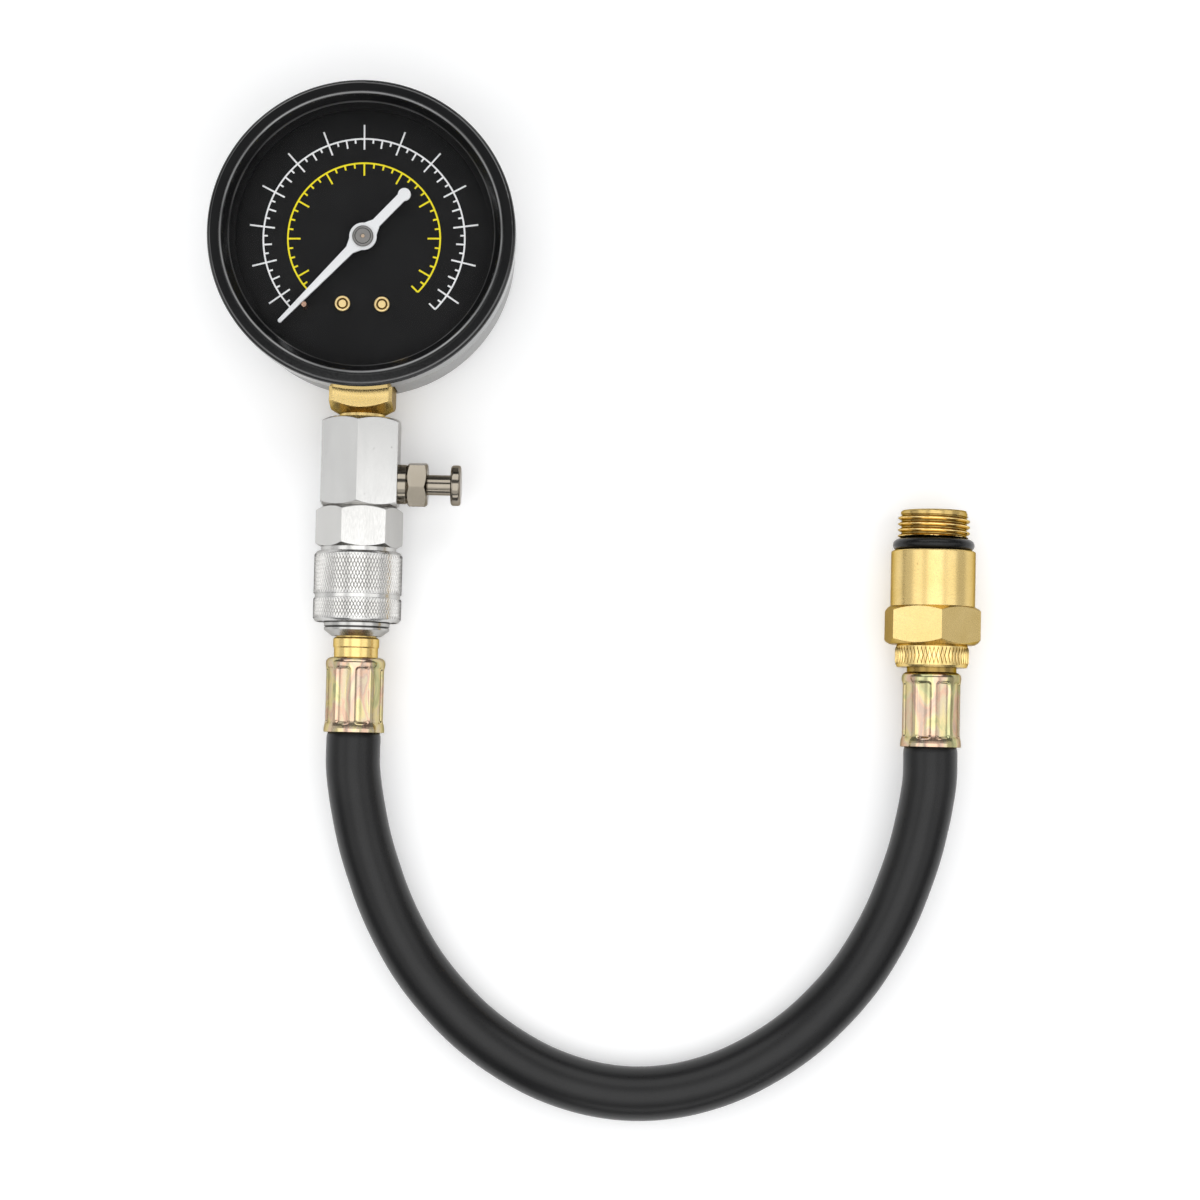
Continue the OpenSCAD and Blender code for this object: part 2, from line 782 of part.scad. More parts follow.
module square_bar(af, bevel, z0, z1) {
    h = af / 2;
    translate([0, 0, z0]) linear_extrude(z1 - z0)
        polygon([[h - bevel, -h], [h, -h + bevel], [h, h - bevel], [h - bevel, h], [-h + bevel, h],
                 [-h, h - bevel], [-h, -h + bevel], [-h + bevel, -h]]);
}

module socket() {
    corner = shank_af / sqrt(2);
    color(brass) difference() {
        union() {
            translate([-socket_w / 2, block_in, case_wall])
                cube([socket_w, ledge_end - block_in, socket_top - case_wall]);
            translate([-socket_w / 2, ledge_end, case_wall])
                cube([socket_w, ledge_top - ledge_end, ledge_z - case_wall]);
            along_stem() {
                intersection() {
                    square_bar(shank_af, 0.8, -block_in - 1, shank_end);
                    turned([[0, -block_in - 2], [corner, -block_in - 2], [corner, shank_end - 3],
                            [neck_d / 2 + 0.2, shank_end], [0, shank_end]]);
                }
                bar(neck_d / 2, shank_end - 0.5, block_top);
                bar(spigot_d / 2, block_top - 0.5, block_top + spigot_len);
            }
        }
        along_stem() bar(bore_r, 24, block_top + spigot_len + 1);
        translate([0, -tube_r * sin(tube_start - 180), stem_z]) rotate([0, -90, 0]) bar(1, -1, 7);
        bent(tube_start - 16, tube_start) oval(tube_w + 2 * fit, tube_t + 2 * fit);
        for (p = case_screw_pos) translate([p[0], p[1], 0])
            bar(screw_r + fit, -1, case_screw_len + screw_end);
        for (p = feet) translate(p) bar(screw_r + fit, ledge_z - screw_len - screw_end, ledge_z + 1);
    }
}

module case_screws() {
    color(grey) for (p = case_screw_pos) translate([p[0], p[1], 0])
        turned([[0, 0], [screw_head_r, 0], [screw_r, case_wall], [screw_r, case_screw_len],
                [0, case_screw_len]]);
}

module valve_block() {
    color(silver) difference() {
        union() {
            along_stem() hexagon(wrench_af, block_top, block_end, 90);
            along_stem() bar(stud_d / 2, block_end - 1, block_end + stud_len);
        }
        along_stem() {
            bar(spigot_d / 2 + fit, block_top - 1, block_top + spigot_len + 0.3);
            bar(passage_r, block_top + 1, block_end + stud_len + 1);
        }
        along_valve() {
            bar(valve_spigot_d / 2 + fit, valve_in, flat_x + 1);
            bar(port_r, port_in, valve_in + 0.5);
        }
    }
}

module valve_body() {
    color(silver) along_valve() difference() {
        union() {
            bar(valve_spigot_d / 2, valve_in, flat_x + 0.5);
            turned([[0, flat_x], [valve_collar_d / 2, flat_x], [valve_collar_d / 2, valve_collar_end - 0.3],
                    [valve_collar_d / 2 - 0.3, valve_collar_end], [0, valve_collar_end]]);
            hexagon(valve_af, valve_collar_end - 0.01, valve_hex_end, 190);
        }
        bar(rod_r + gap, valve_in - 1, cavity_in + 1);
        bar(cavity_r, cavity_in, cavity_out);
        bar(stem_d / 2 + fit, cavity_out - 1, valve_hex_end + 1);
    }
}

module plunger() {
    r = button_d / 2;
    soft = 0.7;
    end = button_in + button_t;
    color(silver) along_valve() {
        bar(rod_r, valve_in - seal_t - 0.5, stem_in + 1);
        bar(2, valve_in - seal_t - 0.9, valve_in - seal_t);
        bar(stem_d / 2, stem_in, button_in + 0.5);
        rotate_extrude() {
            translate([0, button_in]) square([r - soft, button_t]);
            translate([0, button_in + soft]) square([r, button_t - 2 * soft]);
            translate([r - soft, button_in + soft]) circle(soft);
            translate([r - soft, end - soft]) circle(soft);
        }
    }
}

module plunger_spring() {
    wire = 0.5;
    color(grey) along_valve() coil((rod_r + stem_d / 2) / 2 + 0.2, wire, cavity_in, stem_in, 4);
}

module plunger_seal() {
    color(rubber) along_valve() ring(seal_r, rod_r + fit, valve_in - seal_t, valve_in);
}

// Quick coupler

module coupler_body() {
    lip = 0.3;
    color(silver) along_stem() difference() {
        union() {
            hexagon(wrench_af, block_end, hex_end, 90 + coupler_turn);
            bar(barrel_r + 1.2, hex_end - 0.5, sleeve_top);
            turned([[0, hex_end], [barrel_r, hex_end], [barrel_r, sleeve_end + 1.1],
                    [barrel_r - lip, sleeve_end + 1.1], [barrel_r - lip, sleeve_end + 1.4],
                    [barrel_r, sleeve_end + 1.4], [barrel_r, sleeve_end + 2],
                    [plug_r + 1.2, nose_end], [0, nose_end]]);
        }
        bar(stud_d / 2 + fit, block_end - 1, block_end + stud_len + 0.3);
        bar(passage_r, block_end, nose_end);
        bar(plug_r + fit + 0.03, hex_end + 0.3, nose_end + 1);
        bar(plug_r + 0.5, nose_end - 0.5, nose_end + 1);
        ring(plug_r + gland_section, plug_r - 0.5, gland_t - gland_section / 2 - fit,
             gland_t + gland_section / 2 + fit);
        for (i = [0 : ball_count - 1]) rotate([0, 0, 360 * i / ball_count])
            translate([plug_r - 1, 0, ball_t]) rotate([0, 90, 0])
                cylinder(h = barrel_r, r = ball_r + fit);
        ring(barrel_r + 1, barrel_r - ring_groove, washer_top + washer_t, washer_top + washer_t + ring_t);
    }
}

module sleeve() {
    r = sleeve_d / 2;
    ease = 0.7;
    groove_t = sleeve_top + 11.2;
    land = barrel_r + fit;
    color(silver) along_stem() turned([
        [land, sleeve_top], [r - ease, sleeve_top], [r, sleeve_top + ease], [r, groove_t - 0.5],
        [r - 0.35, groove_t - 0.5], [r - 0.35, groove_t + 0.5], [r, groove_t + 0.5],
        [r, sleeve_end - ease], [r - ease, sleeve_end], [sleeve_cavity_r, sleeve_end],
        [sleeve_cavity_r, land_end], [land, land_end], [land, relief_end],
        [barrel_r + 1.4, relief_end - 0.6], [barrel_r + 1.4, relief_start], [land, relief_start]
    ]);
}

module sleeve_spring() {
    wire = 0.8;
    color(grey) along_stem()
        coil((barrel_r + sleeve_cavity_r) / 2, wire, land_end, washer_top, 3);
}

module lock_balls() {
    color(grey) along_stem() for (i = [0 : ball_count - 1]) rotate([0, 0, 360 * i / ball_count])
        translate([ball_ring, 0, ball_t]) sphere(ball_r);
}

module spring_washer() {
    color(grey) along_stem()
        ring(sleeve_cavity_r - gap, barrel_r + fit, washer_top, washer_top + washer_t);
}

module retaining_ring() {
    color(grey) along_stem()
        ring(barrel_r + 0.8, barrel_r - ring_groove + fit, washer_top + washer_t,
             washer_top + washer_t + ring_t);
}

module coupler_o_ring() {
    color(rubber) along_stem()
        wire_ring(plug_r + gland_section / 2 + 0.02, gland_section - 0.04, gland_t);
}

// Hose and its ends

module hose_plug() {
    r = plug_shoulder_d / 2;
    tip = 0.8;
    barb_end = ferrule_end - 2.5;
    color(brass) along_stem() difference() {
        union() {
            turned([[0, plug_in], [plug_r - tip, plug_in], [plug_r, plug_in + tip], [plug_r, shoulder_top],
                    [r - 0.4, shoulder_top], [r, shoulder_top + 0.4], [r, shoulder_top + 2.4],
                    [r - 0.25, shoulder_top + 2.65], [r - 0.25, ferrule_top], [0, ferrule_top]]);
            barb(ferrule_top - 0.5, barb_end);
        }
        rotate_extrude() translate([ball_ring, ball_t]) circle(ball_r + 0.1);
        bar(tube_bore_r, plug_in - 1, barb_end + 1);
    }
}

// A hose tail with three barbs, between two heights
module barb(z0, z1) {
    low = barb_r - 0.4;
    pitch = (z1 - z0 - 4) / 3;
    bar(low, z0, z1);
    for (i = [1 : 3]) turned([[0, z1 - i * pitch], [barb_r, z1 - i * pitch],
                              [low, z1 - i * pitch + 2.5], [0, z1 - i * pitch + 2.5]]);
}

// A crimped ferrule from its closed end at zero to its mouth
module ferrule() {
    shoulder = 1.4;
    floor_t = 1.2;
    half = sqrt(pow(ferrule_r, 2) - pow(ferrule_r - panel_depth, 2)) + 0.4;
    color(zinc) difference() {
        rotate_extrude() difference() {
            union() {
                square([ferrule_r - shoulder, ferrule_len]);
                translate([0, shoulder]) square([ferrule_r, ferrule_len - shoulder]);
                translate([ferrule_r - shoulder, shoulder]) circle(shoulder);
            }
            translate([0, floor_t]) square([ferrule_bore_r, ferrule_len]);
            translate([0, -1]) square([barb_r, ferrule_len]);
        }
        for (i = [0 : panel_count - 1]) rotate([0, 0, 360 * (i + 0.5) / panel_count])
            translate([ferrule_r - panel_depth, -half, 3.2]) cube([2, 2 * half, ferrule_len - 5.4]);
    }
}

module gauge_ferrule() {
    along_stem() translate([0, 0, ferrule_top]) ferrule();
}

module engine_ferrule() {
    along_end() translate([0, 0, ferrule_len]) rotate([180, 0, 0]) ferrule();
}

// The hose: rings of points along the route, pressed thinner inside the two ferrules
module hose() {
    sides = 12;
    deep = ferrule_len - 1.4;
    first = [[0, deep, 0], [0, 0.6, 0], [0, -0.1, 0], [0, -1.2, 0]];
    ends = route[len(route) - 1];
    last = [ends - [0, 1.2, 0], ends - [0, 0.1, 0], ends + [0, 0.6, 0], ends + [0, deep, 0]];
    inner = [for (i = [1 : len(route) - 2]) route[i]];
    path = concat(first, inner, last);
    n = len(path);
    thick = [for (i = [0 : n - 1]) i < 3 || i > n - 4 ? crimp_r : hose_r];
    function heading(i) = path[min(i + 1, n - 1)] - path[max(i - 1, 0)];
    function side_of(i) = let (t = heading(i)) cross(t, [0, 0, 1]) / norm(cross(t, [0, 0, 1]));
    function up_of(i) = let (u = cross(side_of(i), heading(i))) u / norm(u);
    function ringed(i, r) = [
        for (k = [0 : sides - 1])
            path[i] + r * (cos(360 * k / sides) * side_of(i) + sin(360 * k / sides) * up_of(i))
    ];
    outer_points = joined([for (i = [0 : n - 1]) ringed(i, thick[i])]);
    inner_points = joined([for (i = [0 : n - 1]) ringed(i, hose_bore_r)]);
    shift = n * sides;
    function quad(i, k, base) = [
        base + i * sides + k, base + i * sides + (k + 1) % sides,
        base + (i + 1) * sides + (k + 1) % sides, base + (i + 1) * sides + k
    ];
    outer_faces = [for (i = [0 : n - 2]) for (k = [0 : sides - 1]) quad(i, k, 0)];
    inner_faces = [
        for (i = [0 : n - 2]) for (k = [0 : sides - 1])
            let (q = quad(i, k, shift)) [q[3], q[2], q[1], q[0]]
    ];
    start_faces = [
        for (k = [0 : sides - 1]) [(k + 1) % sides, k, shift + k, shift + (k + 1) % sides]
    ];
    far = (n - 1) * sides;
    end_faces = [
        for (k = [0 : sides - 1])
            [far + k, far + (k + 1) % sides, shift + far + (k + 1) % sides, shift + far + k]
    ];
    color(rubber) translate(route_start)
        polyhedron(concat(outer_points, inner_points),
                   concat(outer_faces, inner_faces, start_faces, end_faces), convexity = 10);
}

module end_fitting() {
    neck_r = 6.2;
    ease = 0.5;
    r = collar_d / 2;
    color(brass) along_end() difference() {
        union() {
            mirror([0, 0, 1]) barb(-ferrule_len - 0.5, -2.5);
            bar(neck_r, ferrule_len, end_neck + 0.5);
            turned([[0, end_neck], [r - ease, end_neck], [r, end_neck + ease], [r, collar_end - ease],
                    [r - ease, collar_end], [0, collar_end]]);
            turned([[0, collar_end - 1], [hose_stud_d / 2, collar_end - 1],
                    [hose_stud_d / 2, stud_end - 0.6], [hose_stud_d / 2 - 0.6, stud_end], [0, stud_end]]);
        }
        bar(tube_bore_r, 0, stud_end + 1);
        bar(core_r - 0.3, core_in - core_travel - 2.2, stud_end + 1);
        bar(core_r + fit, core_in, stud_end + 1);
    }
}

module adapter() {
    bore = hose_stud_d / 2 + fit;
    color(brass) along_end() difference() {
        union() {
            hexagon(adapter_af, collar_end, adapter_hex_end, adapter_turn - 90);
            turned([[0, adapter_hex_end - 1], [adapter_d / 2, adapter_hex_end - 1],
                    [adapter_d / 2, adapter_end - 0.3], [adapter_d / 2 - 0.3, adapter_end],
                    [0, adapter_end]]);
            bar(seal_seat_r, adapter_end - 1, seal_end + 1);
            turned([[0, seal_end], [thread_d / 2 - 0.6, seal_end], [thread_d / 2, seal_end + 0.6],
                    [thread_d / 2, thread_end - 0.8], [thread_d / 2 - 0.8, thread_end], [0, thread_end]]);
        }
        bar(bore, collar_end - 1, stud_end + 0.5);
        bar(3, stud_end, thread_end + 1);
    }
}

module adapter_o_ring() {
    color(rubber) along_end()
        wire_ring(seal_seat_r + seal_section / 2, seal_section - 0.04, adapter_end + seal_section / 2);
}

module core_body() {
    color(brass) along_end() difference() {
        bar(core_r, core_in, core_out);
        bar(core_pin_r + gap, core_in - 1, core_out + 1);
        bar(1.75, core_seat, core_out + 1);
    }
}

module core_pin() {
    color(brass) along_end() {
        bar(core_pin_r, core_in - 1.2, core_out + 0.8);
        bar(1.9, core_in - 1.4, core_in - 0.6);
        bar(1.5, core_out - 0.8, core_out - 0.2);
    }
}

module core_spring() {
    color(grey) along_end() coil(1.25, 0.35, core_seat, core_out - 0.8, 4);
}

module core_seal() {
    color(rubber) along_end() ring(1.8, core_pin_r + fit, core_in - 0.6, core_in);
}

case();
bezel();
window();
window_gasket();
dial();
dial_screws();
dial_posts();
stop_pin();
pointer();
pointer_cap();
pinion();
hairspring();
back_plate();
top_plate();
plate_pillars();
plate_screws();
sector();
link();
bourdon_tube();
tube_tip();
socket();
case_screws();
valve_block();
valve_body();
plunger();
plunger_spring();
plunger_seal();
coupler_body();
sleeve();
sleeve_spring();
lock_balls();
spring_washer();
retaining_ring();
coupler_o_ring();
hose_plug();
gauge_ferrule();
hose();
engine_ferrule();
end_fitting();
adapter();
adapter_o_ring();
core_body();
core_pin();
core_spring();
core_seal();
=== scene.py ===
"""Looks of the compression tester gauge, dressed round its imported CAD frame.

Lengths in the sub-assemblies are millimetres, in the frame of the part: the gauge axis is Z, the back
of the case lies on z = 0, the stem runs along -Y and the engine end comes back along +Y. Lengths in
the finishes and in the studio's lights are metres.
"""

from __future__ import annotations

import logging
import math
from dataclasses import dataclass, field
from enum import Enum
from functools import cache
from typing import Callable, ClassVar, Mapping, Sequence, Union

import bmesh
import bpy
import numpy as np
from mathutils import Matrix, Vector

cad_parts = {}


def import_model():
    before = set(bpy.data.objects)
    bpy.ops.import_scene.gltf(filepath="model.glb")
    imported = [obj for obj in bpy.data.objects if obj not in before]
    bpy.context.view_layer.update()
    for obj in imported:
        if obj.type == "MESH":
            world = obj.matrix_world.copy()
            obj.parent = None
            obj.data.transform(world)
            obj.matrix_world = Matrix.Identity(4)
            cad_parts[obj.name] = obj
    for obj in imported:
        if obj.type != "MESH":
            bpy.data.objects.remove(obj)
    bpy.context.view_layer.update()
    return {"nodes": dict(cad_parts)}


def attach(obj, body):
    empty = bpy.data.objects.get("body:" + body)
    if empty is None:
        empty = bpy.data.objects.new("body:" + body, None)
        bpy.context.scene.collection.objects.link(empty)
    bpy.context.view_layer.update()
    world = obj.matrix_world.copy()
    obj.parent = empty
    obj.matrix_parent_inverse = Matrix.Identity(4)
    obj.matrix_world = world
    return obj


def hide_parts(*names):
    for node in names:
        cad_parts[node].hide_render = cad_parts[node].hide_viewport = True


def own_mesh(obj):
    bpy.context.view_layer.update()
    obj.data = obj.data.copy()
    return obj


MM = 0.001
SHARP = 28.0
Triple = tuple[float, float, float]
Colour = tuple[float, float, float]
Number = Union[int, float]
Socket = bpy.types.NodeSocket
Value = Union[float, int, Socket]
Inputs = Mapping[Union[int, str], object]
log = logging.getLogger("compression_tester")


class Axis(Enum):
    """The turning axes of the part: a point on each in millimetres, and its quarter turns about X."""

    STEM = ((0.0, 0.0, 13.0), 1)
    END = ((144.0, -123.0, 12.6), -1)
    GAUGE = ((0.0, 0.0, 0.0), 0)

    @property
    def origin(self) -> Triple:
        """A point on the axis, in millimetres."""
        return self.value[0]

    @property
    def matrix(self) -> Matrix:
        """The matrix in millimetres to the part from a local frame whose Z is the axis."""
        return Matrix.Translation(self.origin) @ Matrix.Rotation(self.value[1] * math.pi / 2, 4, "X")


class NodeGraph:
    """A node tree, with the calls that materials and geometry share."""

    def __init__(self, tree: bpy.types.NodeTree) -> None:
        """Keeps the tree that is to be filled."""
        self.tree = tree

    def put(self, socket: Socket, value: object) -> None:
        """Sets an input, or links a socket to it.

        Args:
            socket: The input.
            value: A number, a vector, a colour or an output socket.
        """
        if isinstance(value, bpy.types.NodeSocket):
            self.tree.links.new(value, socket)
        else:
            socket.default_value = value

    def node(self, kind: str, inputs: Inputs, **traits: object) -> bpy.types.Node:
        """Adds a node.

        Args:
            kind: The node's type name.
            inputs: Values or sockets by input name or number.
            traits: The node's own properties.

        Returns:
            The new node.
        """
        made = self.tree.nodes.new(kind)
        for key, value in traits.items():
            setattr(made, key, value)
        for key, value in inputs.items():
            self.put(made.inputs[key], value)
        return made

    def math(self, operation: str, a: Value, b: Value = 0.0, c: Value = 0.0) -> Socket:
        """Adds a Math node and gives its result."""
        return self.node("ShaderNodeMath", {0: a, 1: b, 2: c}, operation=operation).outputs[0]

    def fade(self, value: Value, start: float, end: float, first: float = 1.0, last: float = 0.0) -> Socket:
        """Maps a value from one range to another and keeps to its ends.

        Args:
            value: The value.
            start: Where the range of the value starts.
            end: Where it ends.
            first: Result at the start.
            last: Result at the end.

        Returns:
            The mapped value.
        """
        return self.node("ShaderNodeMapRange", {0: value, 1: start, 2: end, 3: first, 4: last}).outputs[0]


class ShaderGraph(NodeGraph):
    """A material's node tree with one Principled surface."""

    def __init__(self, name: str) -> None:
        """Starts a material.

        Args:
            name: Name of the material.
        """
        self.material = bpy.data.materials.new(name)
        self.material.use_nodes = True
        super().__init__(self.material.node_tree)
        self.tree.nodes.clear()
        out = self.tree.nodes.new("ShaderNodeOutputMaterial")
        self.surface = self.tree.nodes.new("ShaderNodeBsdfPrincipled")
        self.tree.links.new(self.surface.outputs[0], out.inputs["Surface"])
        self.place = self.tree.nodes.new("ShaderNodeTexCoord").outputs["Object"]

    def dress(self, inputs: Mapping[str, object]) -> None:
        """Sets inputs of the surface, or links sockets to them."""
        for label, value in inputs.items():
            self.put(self.surface.inputs[label], value)

    def noise(self, scale: Sequence[float], detail: float = 3.0, warp: float = 0.0) -> Socket:
        """Adds noise on Object coordinates.

        Args:
            scale: Waves per metre along X, Y and Z.
            detail: Octaves of the noise.
            warp: Distortion of the noise.

        Returns:
            The noise value, about 0 to 1.
        """
        spot = self.node("ShaderNodeMapping", {"Vector": self.place, "Scale": tuple(scale)}).outputs[0]
        return self.node(
            "ShaderNodeTexNoise", {"Vector": spot, "Scale": 1.0, "Detail": detail, "Distortion": warp}
        ).outputs[0]

    def ramp(self, fac: Socket, stops: Sequence[tuple[float, Colour]]) -> Socket:
        """Adds a colour ramp.

        Args:
            fac: The value to colour.
            stops: Positions and colours, in order.

        Returns:
            The colour.
        """
        made = self.node("ShaderNodeValToRGB", {0: fac})
        bar = made.color_ramp
        while len(bar.elements) < len(stops):
            bar.elements.new(0.5)
        for element, (spot, colour) in zip(bar.elements, stops):
            element.position = spot
            element.color = (*colour, 1.0)
        return made.outputs[0]

    def span(self, fac: Socket, low: float, high: float) -> Socket:
        """Maps the middle of a noise, from 0.3 to 0.7, to a range."""
        return self.fade(fac, 0.3, 0.7, low, high)

    def mix(self, fac: Value, under: Socket, over: Colour) -> Socket:
        """Lays a plain colour over another and gives the result."""
        return self.node("ShaderNodeMix", {0: fac, 6: under, 7: (*over, 1.0)}, data_type="RGBA").outputs[2]

    def bump(self, height: Socket, depth: float, edge: float = 0.0) -> Socket:
        """Turns a height into a normal, over edges that are softened a little.

        Args:
            height: The height, 0 to 1.
            depth: Depth of the relief in metres.
            edge: Radius of the softened edges in metres.

        Returns:
            The normal.
        """
        inputs: dict[Union[int, str], object] = {"Height": height, "Distance": depth, "Strength": 1.0}
        if edge > 0:
            inputs["Normal"] = self.node("ShaderNodeBevel", {"Radius": edge}, samples=4).outputs[0]
        return self.node("ShaderNodeBump", inputs).outputs[0]

    def along(self, letter: str) -> Socket:
        """Gives one of the Object coordinates."""
        return self.node("ShaderNodeSeparateXYZ", {0: self.place}).outputs[letter]

    def off(self, value: Socket, middle: float) -> Socket:
        """Gives how far a value lies from a middle, on either side."""
        return self.math("ABSOLUTE", self.math("SUBTRACT", value, middle))

    def reach(self, axis: Axis) -> Socket:
        """Gives the distance from an axis of the part.

        Args:
            axis: The axis.

        Returns:
            The distance in metres.
        """
        across = (1.0, 1.0, 0.0) if axis is Axis.GAUGE else (1.0, 0.0, 1.0)
        origin = tuple(x * MM for x in axis.origin)
        arm = self.node("ShaderNodeVectorMath", {0: self.place, 1: origin}, operation="SUBTRACT").outputs[0]
        flat = self.node("ShaderNodeVectorMath", {0: arm, 1: across}, operation="MULTIPLY").outputs[0]
        return self.node("ShaderNodeVectorMath", {0: flat}, operation="LENGTH").outputs["Value"]


def even(waves: float) -> Triple:
    """Gives the same number of waves along X, Y and Z."""
    return (waves, waves, waves)


@dataclass(frozen=True)
class Finish:
    """A surface finish: two tones in blotches, and a grain that roughens and lifts the surface.

    Scales are waves per metre, and depths and radii are metres. The rim is what a metal's colour is
    multiplied by where it is seen at a slant.
    """

    name: str
    colour: Colour
    tone: Colour
    metallic: float
    roughness: tuple[float, float]
    blotch: Triple = even(90.0)
    grain: Triple = even(4000.0)
    relief: float = 0.000004
    edge: float = 0.00018
    specular: float = 0.5
    rim: Colour = (1.0, 1.0, 1.0)

    def build(self) -> bpy.types.Material:
        """Makes the material.

        Returns:
            The material.
        """
        graph = ShaderGraph(self.name)
        grain = graph.noise(self.grain, 4.0)
        graph.dress(
            {
                "Base Color": self.tint(graph, grain),
                "Roughness": graph.span(grain, *self.roughness),
                "Normal": graph.bump(self.height(graph, grain), self.relief, self.edge),
                "Metallic": self.metallic,
                "Specular IOR Level": self.specular,
                "Specular Tint": (*self.rim, 1.0),
            }
        )
        graph.material.diffuse_color = (*self.colour, 1.0)
        return graph.material

    def tint(self, graph: ShaderGraph, grain: Socket) -> Socket:
        """Gives the colour of the surface.

        Args:
            graph: The material's tree.
            grain: The fine noise, which this tint doesn't use.

        Returns:
            The colour.
        """
        return graph.ramp(graph.noise(self.blotch, 5.0, 0.4), [(0.35, self.colour), (0.68, self.tone)])

    def height(self, graph: ShaderGraph, grain: Socket) -> Socket:
        """Gives the relief of the surface, which is the grain itself."""
        return grain


@dataclass(frozen=True)
class SpeckledFinish(Finish):
    """A finish with small dark nicks scattered over it, where a noise is at its highest."""

    nick: Colour = (0.3, 0.3, 0.3)
    nicks: float = 700.0
    nick_range: tuple[float, float] = (0.735, 0.775)
    nick_share: float = 0.55

    def tint(self, graph: ShaderGraph, grain: Socket) -> Socket:
        """Gives the tones with nicks over them.

        Args:
            graph: The material's tree.
            grain: The fine noise.

        Returns:
            The colour.
        """
        tones = super().tint(graph, grain)
        spots = graph.noise(even(self.nicks), 2.0)
        return graph.mix(graph.fade(spots, *self.nick_range, 0.0, self.nick_share), tones, self.nick)


@dataclass(frozen=True)
class NosedFinish(SpeckledFinish):
    """An alloy that gives way to bare steel beyond a place along Y, with dark lines of painted shade (place,
    half width), such as a groove's shade or the shadow under a neighbouring part.
    """

    bare_from: float = -0.0942
    bare: Colour = (0.46, 0.455, 0.44)
    painted_shade_lines: tuple[tuple[float, float], ...] = ()
    painted_shade_tone: Colour = (0.06, 0.058, 0.055)

    def tint(self, graph: ShaderGraph, grain: Socket) -> Socket:
        """Gives the alloy's tones, the steel's beyond the place, and a dark line of painted shade at each
        listed place.

        Args:
            graph: The material's tree.
            grain: The fine noise.

        Returns:
            The colour.
        """
        along = graph.along("Y")
        beyond = graph.math("LESS_THAN", along, self.bare_from)
        tones = graph.mix(beyond, super().tint(graph, grain), self.bare)
        # painted shade: a dark line at each listed place
        for place, half in self.painted_shade_lines:
            tones = graph.mix(graph.fade(graph.off(along, place), 0.5 * half, half), tones, self.painted_shade_tone)
        return tones


@dataclass(frozen=True)
class RainbowFinish(Finish):
    """Yellow passivated zinc: straw, green, pink and violet drift over the metal in soft clouds."""

    drift: Triple = (240.0, 108.0, 240.0)
    clouds: tuple[tuple[float, Colour], ...] = (
        (0.28, (0.37, 0.32, 0.17)),
        (0.37, (0.43, 0.43, 0.23)),
        (0.44, (0.6, 0.5, 0.26)),
        (0.51, (0.53, 0.45, 0.31)),
        (0.58, (0.57, 0.38, 0.27)),
        (0.66, (0.46, 0.35, 0.28)),
        (0.76, (0.52, 0.46, 0.31)),
    )

    def tint(self, graph: ShaderGraph, grain: Socket) -> Socket:
        """Gives the drifting colours."""
        return graph.ramp(graph.noise(self.drift, 2.5, 0.8), self.clouds)


@dataclass(frozen=True)
class FacedFinish(Finish):
    """A face that was turned in a lathe: fine rings about the gauge axis."""

    rings: float = 4200.0
    ring_share: float = 0.4
    groove: float = 0.00192
    half_groove: float = 0.00011
    painted_shade_tone: Colour = (0.09, 0.09, 0.088)
    pin: float = 0.00042
    copper: Colour = (0.75, 0.58, 0.42)

    def tint(self, graph: ShaderGraph, grain: Socket) -> Socket:
        """Gives the tones, with a ring of painted shade where a groove would be, and the bright copper end of
        the pin in the middle.

        Args:
            graph: The material's tree.
            grain: The fine noise.

        Returns:
            The colour.
        """
        reach = graph.reach(Axis.GAUGE)
        # painted shade: a dark ring standing for the shade in a groove
        in_groove = graph.math("LESS_THAN", graph.off(reach, self.groove), self.half_groove)
        ringed = graph.mix(in_groove, super().tint(graph, grain), self.painted_shade_tone)
        return graph.mix(graph.math("LESS_THAN", reach, self.pin), ringed, self.copper)

    def height(self, graph: ShaderGraph, grain: Socket) -> Socket:
        """Gives the rings with the grain on them."""
        phase = graph.math("MULTIPLY", graph.reach(Axis.GAUGE), self.rings * 2 * math.pi)
        return graph.math("MULTIPLY_ADD", graph.math("SINE", phase), self.ring_share, grain)


@dataclass(frozen=True)
class CutFinish(Finish):
    """A cut surface about an axis, such as a thread or a knurl, with painted shade darkening its roots and
    recesses.
    """

    axis: Axis = Axis.STEM
    root: float = 0.01
    crest: float = 0.0105
    shade: Colour = (0.2, 0.2, 0.2)

    def tint(self, graph: ShaderGraph, grain: Socket) -> Socket:
        """Gives the tones, and painted shade at the roots."""
        # painted shade: darker the nearer the axis, below the crest radius
        depth = graph.fade(graph.reach(self.axis), self.root, self.crest)
        return graph.mix(depth, super().tint(graph, grain), self.shade)


@dataclass(frozen=True)
class RingedFinish(Finish):
    """A turned ring with a painted highlight, a pale line, along each of its narrow edges (radius about the
    gauge axis, half width, tone).
    """

    rings: tuple[tuple[float, float, float], ...] = ()
    painted_highlight_breakup: float = 70.0
    least: float = 0.35

    def tint(self, graph: ShaderGraph, grain: Socket) -> Socket:
        """Gives the tones, and a painted highlight line at each edge, which a noise makes stronger and weaker
        along it.

        Args:
            graph: The material's tree.
            grain: The fine noise.

        Returns:
            The colour.
        """
        tones = super().tint(graph, grain)
        reach = graph.reach(Axis.GAUGE)
        painted_highlight_breakup = graph.span(graph.noise(even(self.painted_highlight_breakup), 2.0), self.least, 1.0)
        # painted highlight: a pale line at each ring's radius
        for radius, half, bright in self.rings:
            line = graph.math("MULTIPLY", graph.fade(graph.off(reach, radius), 0.0, half), painted_highlight_breakup)
            tones = graph.mix(line, tones, (bright, bright, bright))
        return tones


